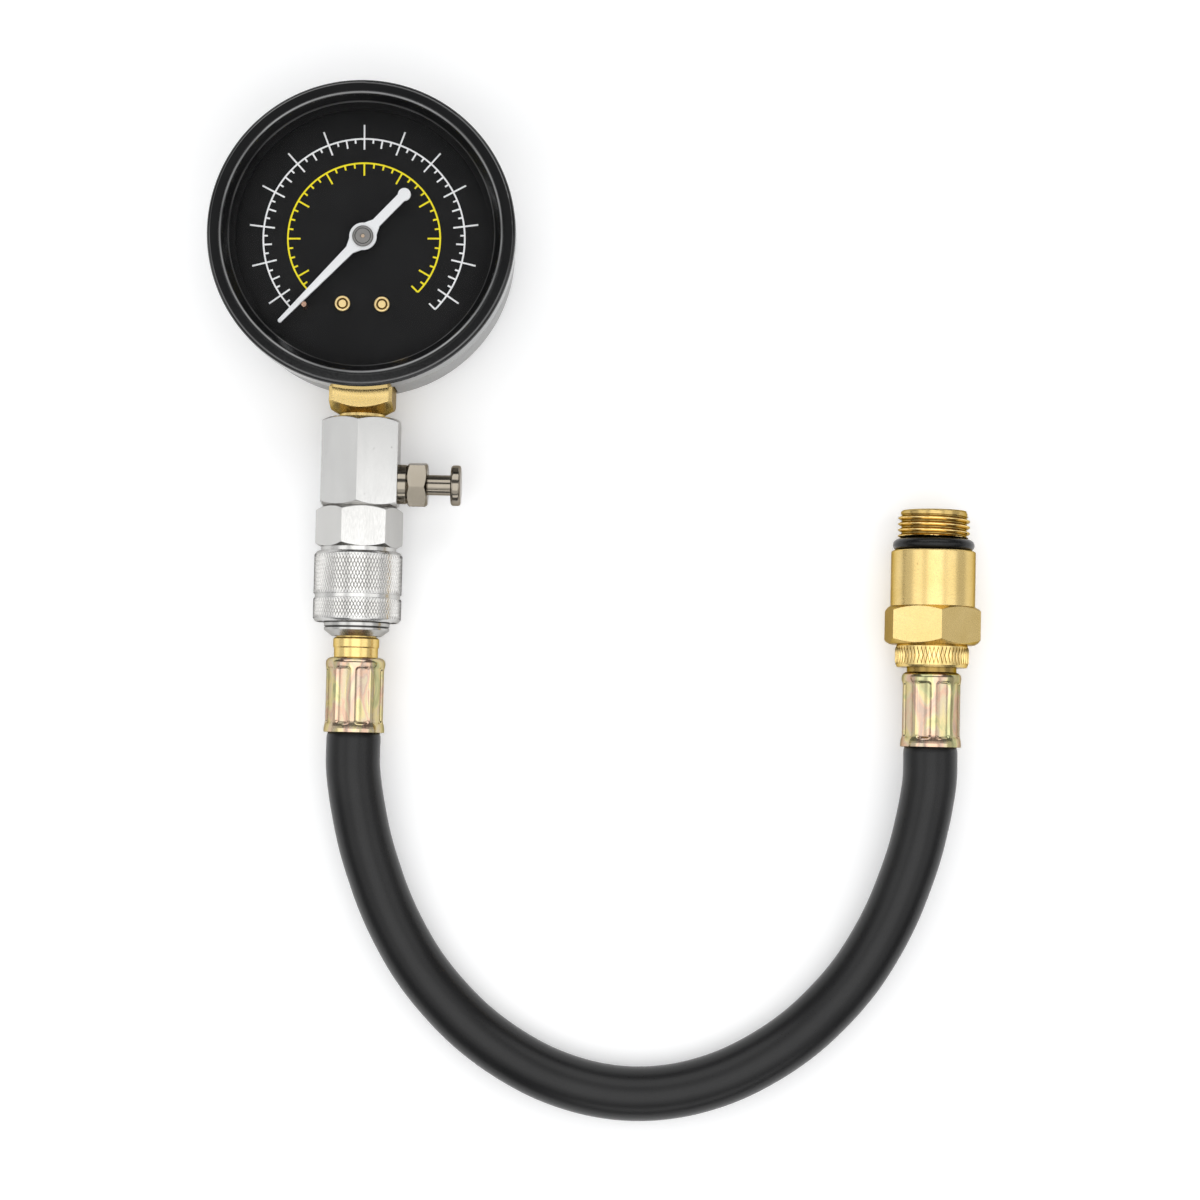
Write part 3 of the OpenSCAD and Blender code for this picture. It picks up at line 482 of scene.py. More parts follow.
@dataclass(frozen=True)
class EyeletFinish(Finish):
    """Brass with painted shade below a level along Z, where the eyelet is sunk."""

    level: float = 0.02242
    blend: float = 0.00008
    shade: Colour = (0.1, 0.06, 0.02)

    def tint(self, graph: ShaderGraph, grain: Socket) -> Socket:
        """Gives the tones, with painted shade below the level."""
        # painted shade in the eyelet's low parts
        depth = graph.fade(graph.along("Z"), self.level, self.level + self.blend)
        return graph.mix(depth, super().tint(graph, grain), self.shade)


@dataclass(frozen=True)
class ClearFinish(Finish):
    """The clear window: almost nothing but its gloss shows."""

    alpha: float = 0.05

    def build(self) -> bpy.types.Material:
        """Makes the see-through material.

        Returns:
            The material.
        """
        made = super().build()
        surface = next(n for n in made.node_tree.nodes if n.type == "BSDF_PRINCIPLED")
        surface.inputs["Alpha"].default_value = self.alpha
        made.surface_render_method = "BLENDED"
        return made


@cache
def made_material(finish: Finish) -> bpy.types.Material:
    """Makes the material of a finish on its first use."""
    return finish.build()


class Surface(Enum):
    """The finishes of the gauge, by what they are on."""

    BEZEL = RingedFinish(
        "black_enamel", (0.005, 0.005, 0.0053), (0.008, 0.008, 0.0083), 0.0, (0.07, 0.13),
        grain=even(2600.0), relief=0.0000008, edge=0.00025, specular=0.55,
        # painted highlight lines on the ridge bead, the outer shoulder and the inner slope
        rings=((0.0346, 0.0003, 0.34), (0.03722, 0.00018, 0.12), (0.03275, 0.0003, 0.09)),
    )
    CASE = Finish(
        "grey_lacquer", (0.25, 0.248, 0.245), (0.3, 0.298, 0.295), 0.75, (0.3, 0.4),
        grain=even(2500.0), relief=0.000002,
    )
    DIAL = Finish(
        "matt_dial", (0.006, 0.006, 0.0063), (0.0085, 0.0085, 0.0088), 0.0, (0.55, 0.7),
        grain=even(6500.0), relief=0.000001, edge=0.0, specular=0.16,
    )
    WHITE_INK = Finish(
        "white_ink", (0.97, 0.975, 0.98), (0.93, 0.935, 0.94), 0.0, (0.45, 0.6),
        blotch=even(500.0), grain=even(7000.0), edge=0.0,
    )
    YELLOW_INK = Finish(
        "yellow_ink", (1.0, 0.85, 0.0), (0.95, 0.79, 0.0), 0.0, (0.45, 0.6),
        blotch=even(500.0), grain=even(7000.0), edge=0.0,
    )
    POINTER = Finish(
        "white_lacquer", (0.92, 0.93, 0.94), (0.87, 0.88, 0.89), 0.0, (0.3, 0.42),
        grain=even(5000.0), relief=0.000002, edge=0.00022,
    )
    CAP = FacedFinish(
        "faced_steel", (0.36, 0.35, 0.34), (0.3, 0.29, 0.28), 0.9, (0.3, 0.42),
        relief=0.000006, edge=0.00008,
    )
    COPPER = Finish(
        "copper_pin", (0.86, 0.56, 0.42), (0.8, 0.5, 0.36), 1.0, (0.2, 0.32), relief=0.000001, edge=0.0001,
    )
    ALLOY = SpeckledFinish(
        "satin_alloy", (0.71, 0.705, 0.69), (0.66, 0.655, 0.64), 1.0, (0.16, 0.26),
        blotch=(160.0, 40.0, 160.0), grain=(5200.0, 800.0, 5200.0), relief=0.0000015,
        nick=(0.45, 0.44, 0.42), rim=(0.62, 0.61, 0.6),
    )
    COUPLER = NosedFinish(
        "coupler_alloy", (0.57, 0.565, 0.55), (0.53, 0.525, 0.51), 1.0, (0.16, 0.26),
        blotch=(160.0, 40.0, 160.0), grain=(5200.0, 800.0, 5200.0), relief=0.0000015,
        nick=(0.45, 0.44, 0.42), rim=(0.62, 0.61, 0.6),
        # painted shade: a dark line in the nose's groove and a painted shadow just under the sleeve
        painted_shade_lines=((-0.09645, 0.00032), (-0.09525, 0.00022)),
    )
    KNURL = CutFinish(
        "knurled_alloy", (0.66, 0.65, 0.63), (0.6, 0.59, 0.57), 1.0, (0.18, 0.28),
        blotch=even(300.0), relief=0.0000005, edge=0.0,
        axis=Axis.STEM, root=0.01087, crest=0.01095, shade=(0.27, 0.26, 0.25), rim=(0.34, 0.33, 0.32),
    )
    SLEEVE = Finish(
        "sleeve_alloy", (0.6, 0.595, 0.58), (0.54, 0.535, 0.52), 1.0, (0.18, 0.28), rim=(0.5, 0.49, 0.48),
        blotch=even(300.0), relief=0.0000008, edge=0.0002,
    )
    NICKEL = Finish(
        "nickel_plate", (0.29, 0.26, 0.215), (0.25, 0.223, 0.18), 1.0, (0.1, 0.17),
        grain=(5200.0, 1500.0, 1500.0), relief=0.000001, rim=(0.5, 0.46, 0.4),
    )
    BRASS = SpeckledFinish(
        "satin_brass", (0.76, 0.57, 0.245), (0.7, 0.515, 0.205), 1.0, (0.2, 0.32),
        blotch=even(140.0), grain=even(3400.0), relief=0.0000035,
        nick=(0.4, 0.25, 0.08), nicks=620.0, rim=(0.35, 0.29, 0.18),
    )
    TURNED_BRASS = Finish(
        "turned_brass", (0.74, 0.555, 0.225), (0.68, 0.5, 0.195), 1.0, (0.16, 0.28),
        blotch=even(160.0), grain=(900.0, 5000.0, 900.0), relief=0.0000005,
        rim=(0.5, 0.42, 0.26),
    )
    EYELET = EyeletFinish(
        "eyelet_brass", (1.0, 0.79, 0.4), (0.95, 0.73, 0.35), 1.0, (0.42, 0.54),
        grain=even(5000.0), relief=0.0000006, edge=0.0,
    )
    THREAD_BRASS = CutFinish(
        "thread_brass", (0.88, 0.67, 0.3), (0.82, 0.61, 0.26), 1.0, (0.14, 0.22),
        grain=even(2500.0), relief=0.0000003, edge=0.0,
        axis=Axis.END, root=0.0081, crest=0.0087, shade=(0.38, 0.26, 0.08), rim=(0.5, 0.42, 0.26),
    )
    COLLAR_BRASS = CutFinish(
        "collar_brass", (0.88, 0.67, 0.3), (0.82, 0.61, 0.26), 1.0, (0.14, 0.22),
        grain=even(2500.0), relief=0.0000003, edge=0.0,
        axis=Axis.END, root=0.00898, crest=0.00914, shade=(0.26, 0.17, 0.045), rim=(0.5, 0.42, 0.26),
    )
    # painted shade: the narrow neck under the collar is darkened as a shaded recess
    END_BRASS = CutFinish(
        "end_brass", (0.76, 0.57, 0.235), (0.7, 0.515, 0.2), 1.0, (0.16, 0.28),
        grain=even(2500.0), relief=0.0000005, edge=0.0, rim=(0.5, 0.42, 0.26),
        axis=Axis.END, root=0.0072, crest=0.0086, shade=(0.3, 0.2, 0.06),
    )
    PLATE_BRASS = Finish(
        "plate_brass", (0.78, 0.55, 0.22), (0.7, 0.48, 0.19), 1.0, (0.28, 0.42),
        grain=(700.0, 6000.0, 6000.0), relief=0.0000015,
    )
    ZINC = RainbowFinish(
        "rainbow_zinc", (0.8, 0.74, 0.5), (0.8, 0.74, 0.5), 1.0, (0.1, 0.2),
        grain=even(2600.0), relief=0.000001, edge=0.0, rim=(0.5, 0.45, 0.34),
    )
    STEEL = Finish(
        "bright_steel", (0.6, 0.6, 0.61), (0.52, 0.52, 0.53), 1.0, (0.2, 0.34),
        relief=0.000003, edge=0.00006,
    )
    HOSE = Finish(
        "moulded_rubber", (0.0055, 0.0055, 0.0058), (0.0085, 0.0085, 0.0088), 0.0, (0.27, 0.38),
        blotch=even(60.0), grain=even(3200.0), relief=0.000003, edge=0.0,
        specular=0.3,
    )
    SEAL = Finish(
        "seal_rubber", (0.004, 0.004, 0.0043), (0.006, 0.006, 0.0063), 0.0, (0.24, 0.34), specular=0.3,
        grain=even(3000.0), relief=0.0000005, edge=0.0,
    )
    GASKET = Finish(
        "gasket_rubber", (0.004, 0.004, 0.0043), (0.006, 0.006, 0.0063), 0.0, (0.6, 0.75),
        grain=even(3000.0), relief=0.0000001, edge=0.0, specular=0.2,
    )
    WINDOW = ClearFinish(
        "clear_window", (0.02, 0.021, 0.022), (0.03, 0.031, 0.032), 0.0, (0.02, 0.05),
        edge=0.0, relief=0.000001,
    )

    @property
    def material(self) -> bpy.types.Material:
        """The finish's material, made once."""
        return made_material(self.value)


def linked(name: str, data: bpy.types.ID) -> bpy.types.Object:
    """Puts a new object with its data into the scene.

    Args:
        name: Name of the object.
        data: Its mesh, light or camera.

    Returns:
        The object.
    """
    made = bpy.data.objects.new(name, data)
    bpy.context.scene.collection.objects.link(made)
    return made


def named(owner: object, labels: Sequence[str]) -> dict[str, Number]:
    """Gives an owner's fields by a tree's labels, such as lead_radius for Lead Radius."""
    return {label: getattr(owner, label.lower().replace(" ", "_")) for label in labels}


def quads(rings: int, sides: int) -> list[Sequence[int]]:
    """Gives the faces of a tube of points.

    Args:
        rings: Rings of points along the tube.
        sides: Points round a ring.

    Returns:
        Corner numbers of each face.
    """
    faces: list[Sequence[int]] = []
    for near in range(0, (rings - 1) * sides, sides):
        far = near + sides
        for k in range(sides):
            after = (k + 1) % sides
            faces.append((near + k, near + after, far + after, far + k))
    return faces


class GeometryGraph(NodeGraph):
    """A Geometry Nodes tree with named inputs, and the means to make a mesh of it."""

    def __init__(self, name: str, sizes: Sequence[str], counts: Sequence[str] = ()) -> None:
        """Starts a tree.

        Args:
            name: Name of the tree.
            sizes: Names of its inputs that are numbers.
            counts: Names of its inputs that are whole numbers.
        """
        super().__init__(bpy.data.node_groups.new(name, "GeometryNodeTree"))
        kinds = {label: "NodeSocketFloat" for label in sizes} | {label: "NodeSocketInt" for label in counts}
        self.tree.interface.new_socket("Geometry", in_out="OUTPUT", socket_type="NodeSocketGeometry")
        for label, kind in {**kinds, "Finish": "NodeSocketMaterial"}.items():
            self.tree.interface.new_socket(label, in_out="INPUT", socket_type=kind)
        self.inputs = self.tree.nodes.new("NodeGroupInput").outputs
        self.result = self.tree.nodes.new("NodeGroupOutput").inputs[0]

    def vector(self, x: Value, y: Value, z: Value) -> Socket:
        """Joins three numbers to a vector."""
        return self.node("ShaderNodeCombineXYZ", {0: x, 1: y, 2: z}).outputs[0]

    def polar(self, radius: Value, angle: Value, z: Value) -> Socket:
        """Gives the place at a radius and an angle about Z.

        Args:
            radius: Distance from Z.
            angle: Angle from X.
            z: Height.

        Returns:
            The place.
        """
        x = self.math("MULTIPLY", radius, self.math("COSINE", angle))
        y = self.math("MULTIPLY", radius, self.math("SINE", angle))
        return self.vector(x, y, z)

    def index(self) -> Socket:
        """Gives the number of each point."""
        return self.node("GeometryNodeInputIndex", {}).outputs[0]

    def spot(self) -> list[Socket]:
        """Moves the places of a centred unit block's points to 0 to 1.

        Returns:
            X, Y and Z of each point.
        """
        place = self.node("GeometryNodeInputPosition", {}).outputs[0]
        split = self.node("ShaderNodeSeparateXYZ", {0: place})
        return [self.math("ADD", axis, 0.5) for axis in split.outputs]

    def moved(self, geometry: Socket, place: Socket) -> Socket:
        """Sets the place of each point of a geometry."""
        return self.node("GeometryNodeSetPosition", {"Geometry": geometry, "Position": place}).outputs[0]

    def smoothed(self, geometry: Socket) -> Socket:
        """Shades a geometry smooth."""
        return self.node("GeometryNodeSetShadeSmooth", {"Geometry": geometry}).outputs[0]

    def spread(self, count: Value, place: Socket, shape: Socket, **inputs: object) -> Socket:
        """Sets a shape at each of a number of places.

        Args:
            count: How many places.
            place: Where they are.
            shape: The shape.
            inputs: Rotation and Scale of each, where they have one.

        Returns:
            The instances.
        """
        spots = self.node("GeometryNodePoints", {"Count": count, "Position": place}).outputs[0]
        wanted = {"Points": spots, "Instance": shape, **inputs}
        return self.node("GeometryNodeInstanceOnPoints", wanted).outputs[0]

    def turned(self, x: Value, y: Value, z: Value) -> Socket:
        """Gives the rotation by three angles."""
        return self.node("FunctionNodeEulerToRotation", {0: self.vector(x, y, z)}).outputs[0]

    def close(self, geometry: Socket) -> None:
        """Ends the tree with Realize Instances and Set Material.

        Args:
            geometry: The finished geometry.
        """
        real = self.node("GeometryNodeRealizeInstances", {0: geometry}).outputs[0]
        done = self.node("GeometryNodeSetMaterial", {"Geometry": real, "Material": self.inputs["Finish"]})
        self.tree.links.new(done.outputs[0], self.result)

    def make(
        self, name: str, surface: Surface, axis: Axis, values: Mapping[str, Number]
    ) -> bpy.types.Object:
        """Makes a plain mesh object of the tree.

        Args:
            name: Name of the piece.
            surface: Its finish.
            axis: The axis that the tree's Z stands for.
            values: The tree's inputs, lengths in millimetres and angles in radians.

        Returns:
            The piece, with its place in its mesh.
        """
        made = linked(name, bpy.data.meshes.new(name))
        modifier = made.modifiers.new("shape", "NODES")
        modifier.node_group = self.tree
        sockets = [item for item in self.tree.interface.items_tree if item.in_out == "INPUT"]
        known = {item.name: item.identifier for item in sockets}
        for label, value in {**values, "Finish": surface.material}.items():
            modifier[known[label]] = value
        graph = bpy.context.evaluated_depsgraph_get()
        mesh = bpy.data.meshes.new_from_object(made.evaluated_get(graph), depsgraph=graph)
        made.modifiers.remove(modifier)
        made.data = mesh
        mesh.transform(Matrix.Scale(MM, 4) @ axis.matrix)
        mesh.set_sharp_from_angle(angle=math.radians(SHARP))
        return made


class Workshop:
    """Makes and dresses pieces, and keeps count of them."""

    MERGE: ClassVar[float] = 1e-7
    CAD_MERGE: ClassVar[float] = 1e-6
    CAD_SHARP: ClassVar[float] = 24.0
    SLACK: ClassVar[float] = 0.01

    def __init__(self, nodes: Mapping[str, bpy.types.Object]) -> None:
        """Keeps the CAD nodes at hand.

        Args:
            nodes: The CAD objects by node name.
        """
        self.nodes = nodes
        self.dressed: set[str] = set()

    def dress(self, surface: Surface, *names: str) -> None:
        """Gives CAD nodes a finish.

        Args:
            surface: The finish.
            names: The nodes.
        """
        for name in names:
            mesh = self.nodes[name].data
            mesh.materials.clear()
            mesh.materials.append(surface.material)
            self.dressed.add(name)
            log.info("CAD node %s: %s", name, surface.value.name)

    def settle(
        self, piece: bpy.types.Object, body: str, replaced: Sequence[str] = ()
    ) -> bpy.types.Object:
        """Lets a piece ride on its body.

        Args:
            piece: The piece.
            body: The CAD body that carries it.
            replaced: CAD nodes that it stands for.

        Returns:
            The piece.
        """
        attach(piece, body)
        if replaced:
            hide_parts(*replaced)
            self.dressed.update(replaced)
        log.info("piece %s on %s: %d faces", piece.name, body, len(piece.data.polygons))
        return piece

    @staticmethod
    def shaded(name: str, data: bpy.types.Mesh, surface: Surface, sharp: float) -> bpy.types.Object:
        """Makes an object of a mesh, shaded smooth.

        Args:
            name: Name of the piece.
            data: The mesh.
            surface: The finish.
            sharp: Angle in degrees from which an edge is sharp.

        Returns:
            The object.
        """
        data.polygons.foreach_set("use_smooth", [True] * len(data.polygons))
        data.set_sharp_from_angle(angle=math.radians(sharp))
        data.materials.append(surface.material)
        return linked(name, data)

    def mesh(
        self,
        name: str,
        points: np.ndarray,
        faces: Sequence[Sequence[int]],
        surface: Surface,
        sharp: float = SHARP,
    ) -> bpy.types.Object:
        """Makes an object of points and faces, merged and with its faces turned outwards.

        Args:
            name: Name of the piece.
            points: Places in millimetres.
            faces: Corner numbers of each face.
            surface: The finish.
            sharp: Angle in degrees from which an edge is sharp.

        Returns:
            The object, shaded smooth.
        """
        data = bpy.data.meshes.new(name)
        data.from_pydata([tuple(p) for p in np.asarray(points, float) * MM], [], [tuple(f) for f in faces])
        work = bmesh.new()
        work.from_mesh(data)
        bmesh.ops.remove_doubles(work, verts=work.verts, dist=self.MERGE)
        bmesh.ops.recalc_face_normals(work, faces=work.faces)
        work.to_mesh(data)
        work.free()
        return self.shaded(name, data, surface, sharp)

    def shell(
        self,
        name: str,
        radius: Callable[[np.ndarray, np.ndarray], np.ndarray],
        heights: Sequence[float],
        sides: int,
        axis: Axis,
        surface: Surface,
        inside: Sequence[tuple[float, float]],
    ) -> bpy.types.Object:
        """Makes a round shell whose radius depends on angle and height, with a turned inside.

        Args:
            name: Name of the piece.
            radius: Gives the radius at an angle and a height.
            heights: Heights of the rings of points.
            sides: Points round a ring.
            axis: The axis that the heights run along.
            surface: The finish.
            inside: Radius and height of the rings that close the inside.

        Returns:
            The object.
        """
        turn = np.linspace(0, 2 * math.pi, sides, endpoint=False)
        rings = [(radius(turn, np.full(sides, h)), h) for h in heights]
        rings += [(np.full(sides, r), h) for r, h in inside]
        rings.append(rings[0])
        points = np.concatenate(
            [np.stack([r * np.cos(turn), r * np.sin(turn), np.full(sides, h)], 1) for r, h in rings]
        )
        matrix = np.array(axis.matrix)
        placed = points @ matrix[:3, :3].T + matrix[:3, 3]
        return self.mesh(name, placed, quads(len(rings), sides), surface)

    def copy(self, name: str, node: str, surface: Surface) -> bpy.types.Object:
        """Copies a CAD node's shape to a new piece, merged and shaded by angle.

        Args:
            name: Name of the piece.
            node: The CAD node.
            surface: The finish.

        Returns:
            The new object.
        """
        work = bmesh.new()
        work.from_mesh(self.nodes[node].data)
        bmesh.ops.remove_doubles(work, verts=work.verts, dist=self.CAD_MERGE)
        work.verts.index_update()
        points = [tuple(vertex.co) for vertex in work.verts]
        faces = [[vertex.index for vertex in face.verts] for face in work.faces]
        work.free()
        data = bpy.data.meshes.new(name)
        data.from_pydata(points, [], faces)
        return self.shaded(name, data, surface, self.CAD_SHARP)

    def turn_down(self, piece: bpy.types.Object, axis: Axis, span: tuple[float, float], to: float) -> None:
        """Takes a piece's outside down to a smaller radius, as before a thread or knurl goes on.

        Args:
            piece: A merged copy.
            axis: The axis it is turned about.
            span: Heights along the axis, in millimetres.
            to: The new radius of every point that lies further out.
        """
        matrix = axis.matrix
        back = matrix.inverted()
        low, high = span[0] - self.SLACK, span[1] + self.SLACK
        for vertex in piece.data.vertices:
            spot = back @ (vertex.co / MM)
            r = math.hypot(spot.x, spot.y)
            if low <= spot.z <= high and r > to:
                spot.x, spot.y = spot.x * to / r, spot.y * to / r
                vertex.co = matrix @ spot * MM
        piece.data.update()


@dataclass
class ScaleRing:
    """A set of ticks, evenly spread about the top of the dial, angles in degrees."""

    PARTS: ClassVar[tuple[str, ...]] = ("Half Span", "Inner", "Length")

    count: int
    half_span: float
    inner: float
    length: float


@dataclass
class DialScale:
    """One printed scale: an arc with three sets of ticks, angles in degrees."""

    SIZES: ClassVar[tuple[str, ...]] = ("Radius", "Line", "Half Span", "Middle", "Level", "Ink")
    SETS: ClassVar[tuple[str, ...]] = ("Major", "Middle", "Minor")
    ARC_POINTS: ClassVar[int] = 181
    TICK_LIFT: ClassVar[float] = 0.55
    LAYER: ClassVar[float] = 0.2

    name: str
    surface: Surface
    radius: float
    rings: Mapping[str, ScaleRing]
    line: float = 0.42
    half_span: float = 135.0
    middle: float = 91.3
    level: float = 22.0
    ink: float = 0.03

    def build(self, shop: Workshop, graph: GeometryGraph) -> None:
        """Prints the scale on the dial.

        Args:
            shop: Makes the piece.
            graph: The scale's tree.
        """
        values = named(self, self.SIZES)
        for label, ring in self.rings.items():
            parts = named(ring, ("Count", *ScaleRing.PARTS))
            values.update({f"{label} {part}": value for part, value in parts.items()})
        for label in values:
            if label == "Middle" or label.endswith("Half Span"):
                values[label] = math.radians(values[label])
        piece = graph.make(self.name, self.surface, Axis.GAUGE, values)
        shop.settle(piece, "gauge")

    @classmethod
    def tree(cls) -> GeometryGraph:
        """Makes the tree of a scale, in which each set of ticks lies a thin layer above the last.

        Returns:
            The tree.
        """
        sizes = [*cls.SIZES, *(f"{label} {part}" for label in cls.SETS for part in ScaleRing.PARTS)]
        graph = GeometryGraph("printed_scale", sizes, [f"{label} Count" for label in cls.SETS])
        get = graph.inputs
        joined = graph.node("GeometryNodeJoinGeometry", {})
        block = {"Size": (1.0, 1.0, 1.0), "Vertices X": cls.ARC_POINTS, "Vertices Y": 2, "Vertices Z": 2}
        strip = graph.node("GeometryNodeMeshCube", block)
        u, v, w = graph.spot()
        turn = graph.math("MULTIPLY_ADD", u, -2.0, 1.0)
        angle = graph.math("MULTIPLY_ADD", turn, get["Half Span"], get["Middle"])
        radius = graph.math("MULTIPLY_ADD", graph.math("SUBTRACT", 0.5, v), get["Line"], get["Radius"])
        height = graph.math("MULTIPLY_ADD", w, get["Ink"], get["Level"])
        arc = graph.moved(strip.outputs["Mesh"], graph.polar(radius, angle, height))
        graph.tree.links.new(arc, joined.inputs[0])
        for layer, label in enumerate(reversed(cls.SETS)):
            count, length = get[f"{label} Count"], get[f"{label} Length"]
            part = graph.math("DIVIDE", graph.index(), graph.math("SUBTRACT", count, 1.0))
            share = graph.math("MULTIPLY_ADD", part, -2.0, 1.0)
            angle = graph.math("MULTIPLY_ADD", share, get[f"{label} Half Span"], get["Middle"])
            radius = graph.math("MULTIPLY_ADD", length, 0.5, get[f"{label} Inner"])
            height = graph.math("MULTIPLY_ADD", get["Ink"], cls.TICK_LIFT + cls.LAYER * layer, get["Level"])
            size = graph.vector(length, get["Line"], get["Ink"])
            tick = graph.node("GeometryNodeMeshCube", {"Size": size}).outputs["Mesh"]
            place = graph.polar(radius, angle, height)
            ticks = graph.spread(count, place, tick, Rotation=graph.turned(0.0, 0.0, angle))
            graph.tree.links.new(ticks, joined.inputs[0])
        graph.close(joined.outputs[0])
        return graph


@dataclass
class DialEyelets:
    """The two dial screws, whose heads are rolled over like eyelets about a sunk middle."""

    SIZES: ClassVar[tuple[str, ...]] = (
        "Radius", "Roll", "Middle", "Spread", "Drop", "Level", "Shank Radius", "Shank",
    )
    RIM_POINTS: ClassVar[int] = 48
    WIRE_POINTS: ClassVar[int] = 18
    HEAD_POINTS: ClassVar[int] = 40
    SHANK_POINTS: ClassVar[int] = 32
    DOME_TOP: ClassVar[float] = 0.72
    DOME_DEPTH: ClassVar[float] = 1.1

    radius: float = 1.98
    roll: float = 0.34
    middle: float = 1.25
    spread: float = 4.9
    drop: float = 16.4
    level: float = 22.0
    shank_radius: float = 0.95
    shank: float = 4.6

    def build(self, shop: Workshop) -> None:
        """Sets both eyelets in the dial.

        Args:
            shop: Makes the piece.
        """
        values = named(self, self.SIZES)
        piece = self.tree().make("dial_eyelets", Surface.EYELET, Axis.GAUGE, values)
        shop.settle(piece, "gauge", ["dial_screws"])

    @classmethod
    def tree(cls) -> GeometryGraph:
        """Makes the tree of a pair of eyelets.

        Returns:
            The tree.
        """
        graph = GeometryGraph("rolled_eyelets", cls.SIZES)
        get = graph.inputs
        circle, cylinder = "GeometryNodeCurvePrimitiveCircle", "GeometryNodeMeshCylinder"
        rim_r = graph.math("SUBTRACT", get["Radius"], get["Roll"])
        ring = graph.node(circle, {"Resolution": cls.RIM_POINTS, "Radius": rim_r}).outputs[0]
        wire = graph.node(circle, {"Resolution": cls.WIRE_POINTS, "Radius": get["Roll"]}).outputs[0]
        rim = graph.node("GeometryNodeCurveToMesh", {"Curve": ring, "Profile Curve": wire}).outputs[0]
        dome = graph.node(
            "GeometryNodeMeshCone",
            {
                "Vertices": cls.HEAD_POINTS,
                "Radius Top": graph.math("MULTIPLY", get["Middle"], cls.DOME_TOP),
                "Radius Bottom": get["Middle"],
                "Depth": graph.math("MULTIPLY", get["Roll"], cls.DOME_DEPTH),
            },
        ).outputs["Mesh"]
        head = {"Vertices": cls.HEAD_POINTS, "Radius": get["Radius"], "Depth": get["Roll"]}
        pin = {"Vertices": cls.SHANK_POINTS, "Radius": get["Shank Radius"], "Depth": get["Shank"]}
        half = graph.math("MULTIPLY", get["Roll"], 0.5)
        joined = graph.node("GeometryNodeJoinGeometry", {})
        for shape, lift in (
            (rim, get["Roll"]),
            (dome, half),
            (graph.node(cylinder, head).outputs["Mesh"], half),
            (graph.node(cylinder, pin).outputs["Mesh"], graph.math("MULTIPLY", get["Shank"], -0.5)),
        ):
            move = {"Geometry": shape, "Translation": graph.vector(0.0, 0.0, lift)}
            graph.tree.links.new(graph.node("GeometryNodeTransform", move).outputs[0], joined.inputs[0])
        side = graph.math("MULTIPLY_ADD", graph.index(), 2.0, -1.0)
        x = graph.math("MULTIPLY", side, get["Spread"])
        spot = graph.vector(x, graph.math("MULTIPLY", get["Drop"], -1.0), get["Level"])
        graph.close(graph.spread(2, spot, graph.smoothed(joined.outputs[0])))
        return graph


@dataclass
class GaugeHead:
    """The gauge: case, bezel, dial with its print, pointer and the movement inside."""

    white: DialScale = field(
        default_factory=lambda: DialScale(
            "white_scale",
            Surface.WHITE_INK,
            25.05,
            {
                "Major": ScaleRing(13, 124.615, 22.35, 6.25),
                "Middle": ScaleRing(14, 135.0, 22.95, 2.1),
                "Minor": ScaleRing(26, 129.808, 23.95, 1.1),
            },
        )
    )
    yellow: DialScale = field(
        default_factory=lambda: DialScale(
            "yellow_scale",
            Surface.YELLOW_INK,
            18.94,
            {
                "Major": ScaleRing(9, 120.0, 15.8, 3.2),
                "Middle": ScaleRing(2, 135.0, 16.75, 2.2),
                "Minor": ScaleRing(35, 127.5, 17.75, 1.2),
            },
        )
    )
    eyelets: DialEyelets = field(default_factory=DialEyelets)

    def build(self, shop: Workshop) -> None:
        """Dresses the gauge, prints its dial and sets the eyelets.

        Args:
            shop: Makes the pieces.
        """
        shop.dress(Surface.CASE, "case")
        shop.dress(Surface.BEZEL, "bezel")
        shop.dress(Surface.WINDOW, "window")
        shop.dress(Surface.GASKET, "window_gasket")
        shop.dress(Surface.DIAL, "dial")
        shop.dress(Surface.COPPER, "stop_pin")
        shop.dress(Surface.PLATE_BRASS, "dial_posts", "back_plate", "top_plate")
        shop.dress(Surface.PLATE_BRASS, "plate_pillars", "sector", "bourdon_tube", "tube_tip")
        shop.dress(Surface.POINTER, "pointer")
        shop.dress(Surface.CAP, "pointer_cap")
        shop.dress(Surface.STEEL, "pinion", "hairspring", "plate_screws", "link", "case_screws")
        shop.dress(Surface.BRASS, "socket")
        tree = DialScale.tree()
        self.white.build(shop, tree)
        self.yellow.build(shop, tree)
        self.eyelets.build(shop)


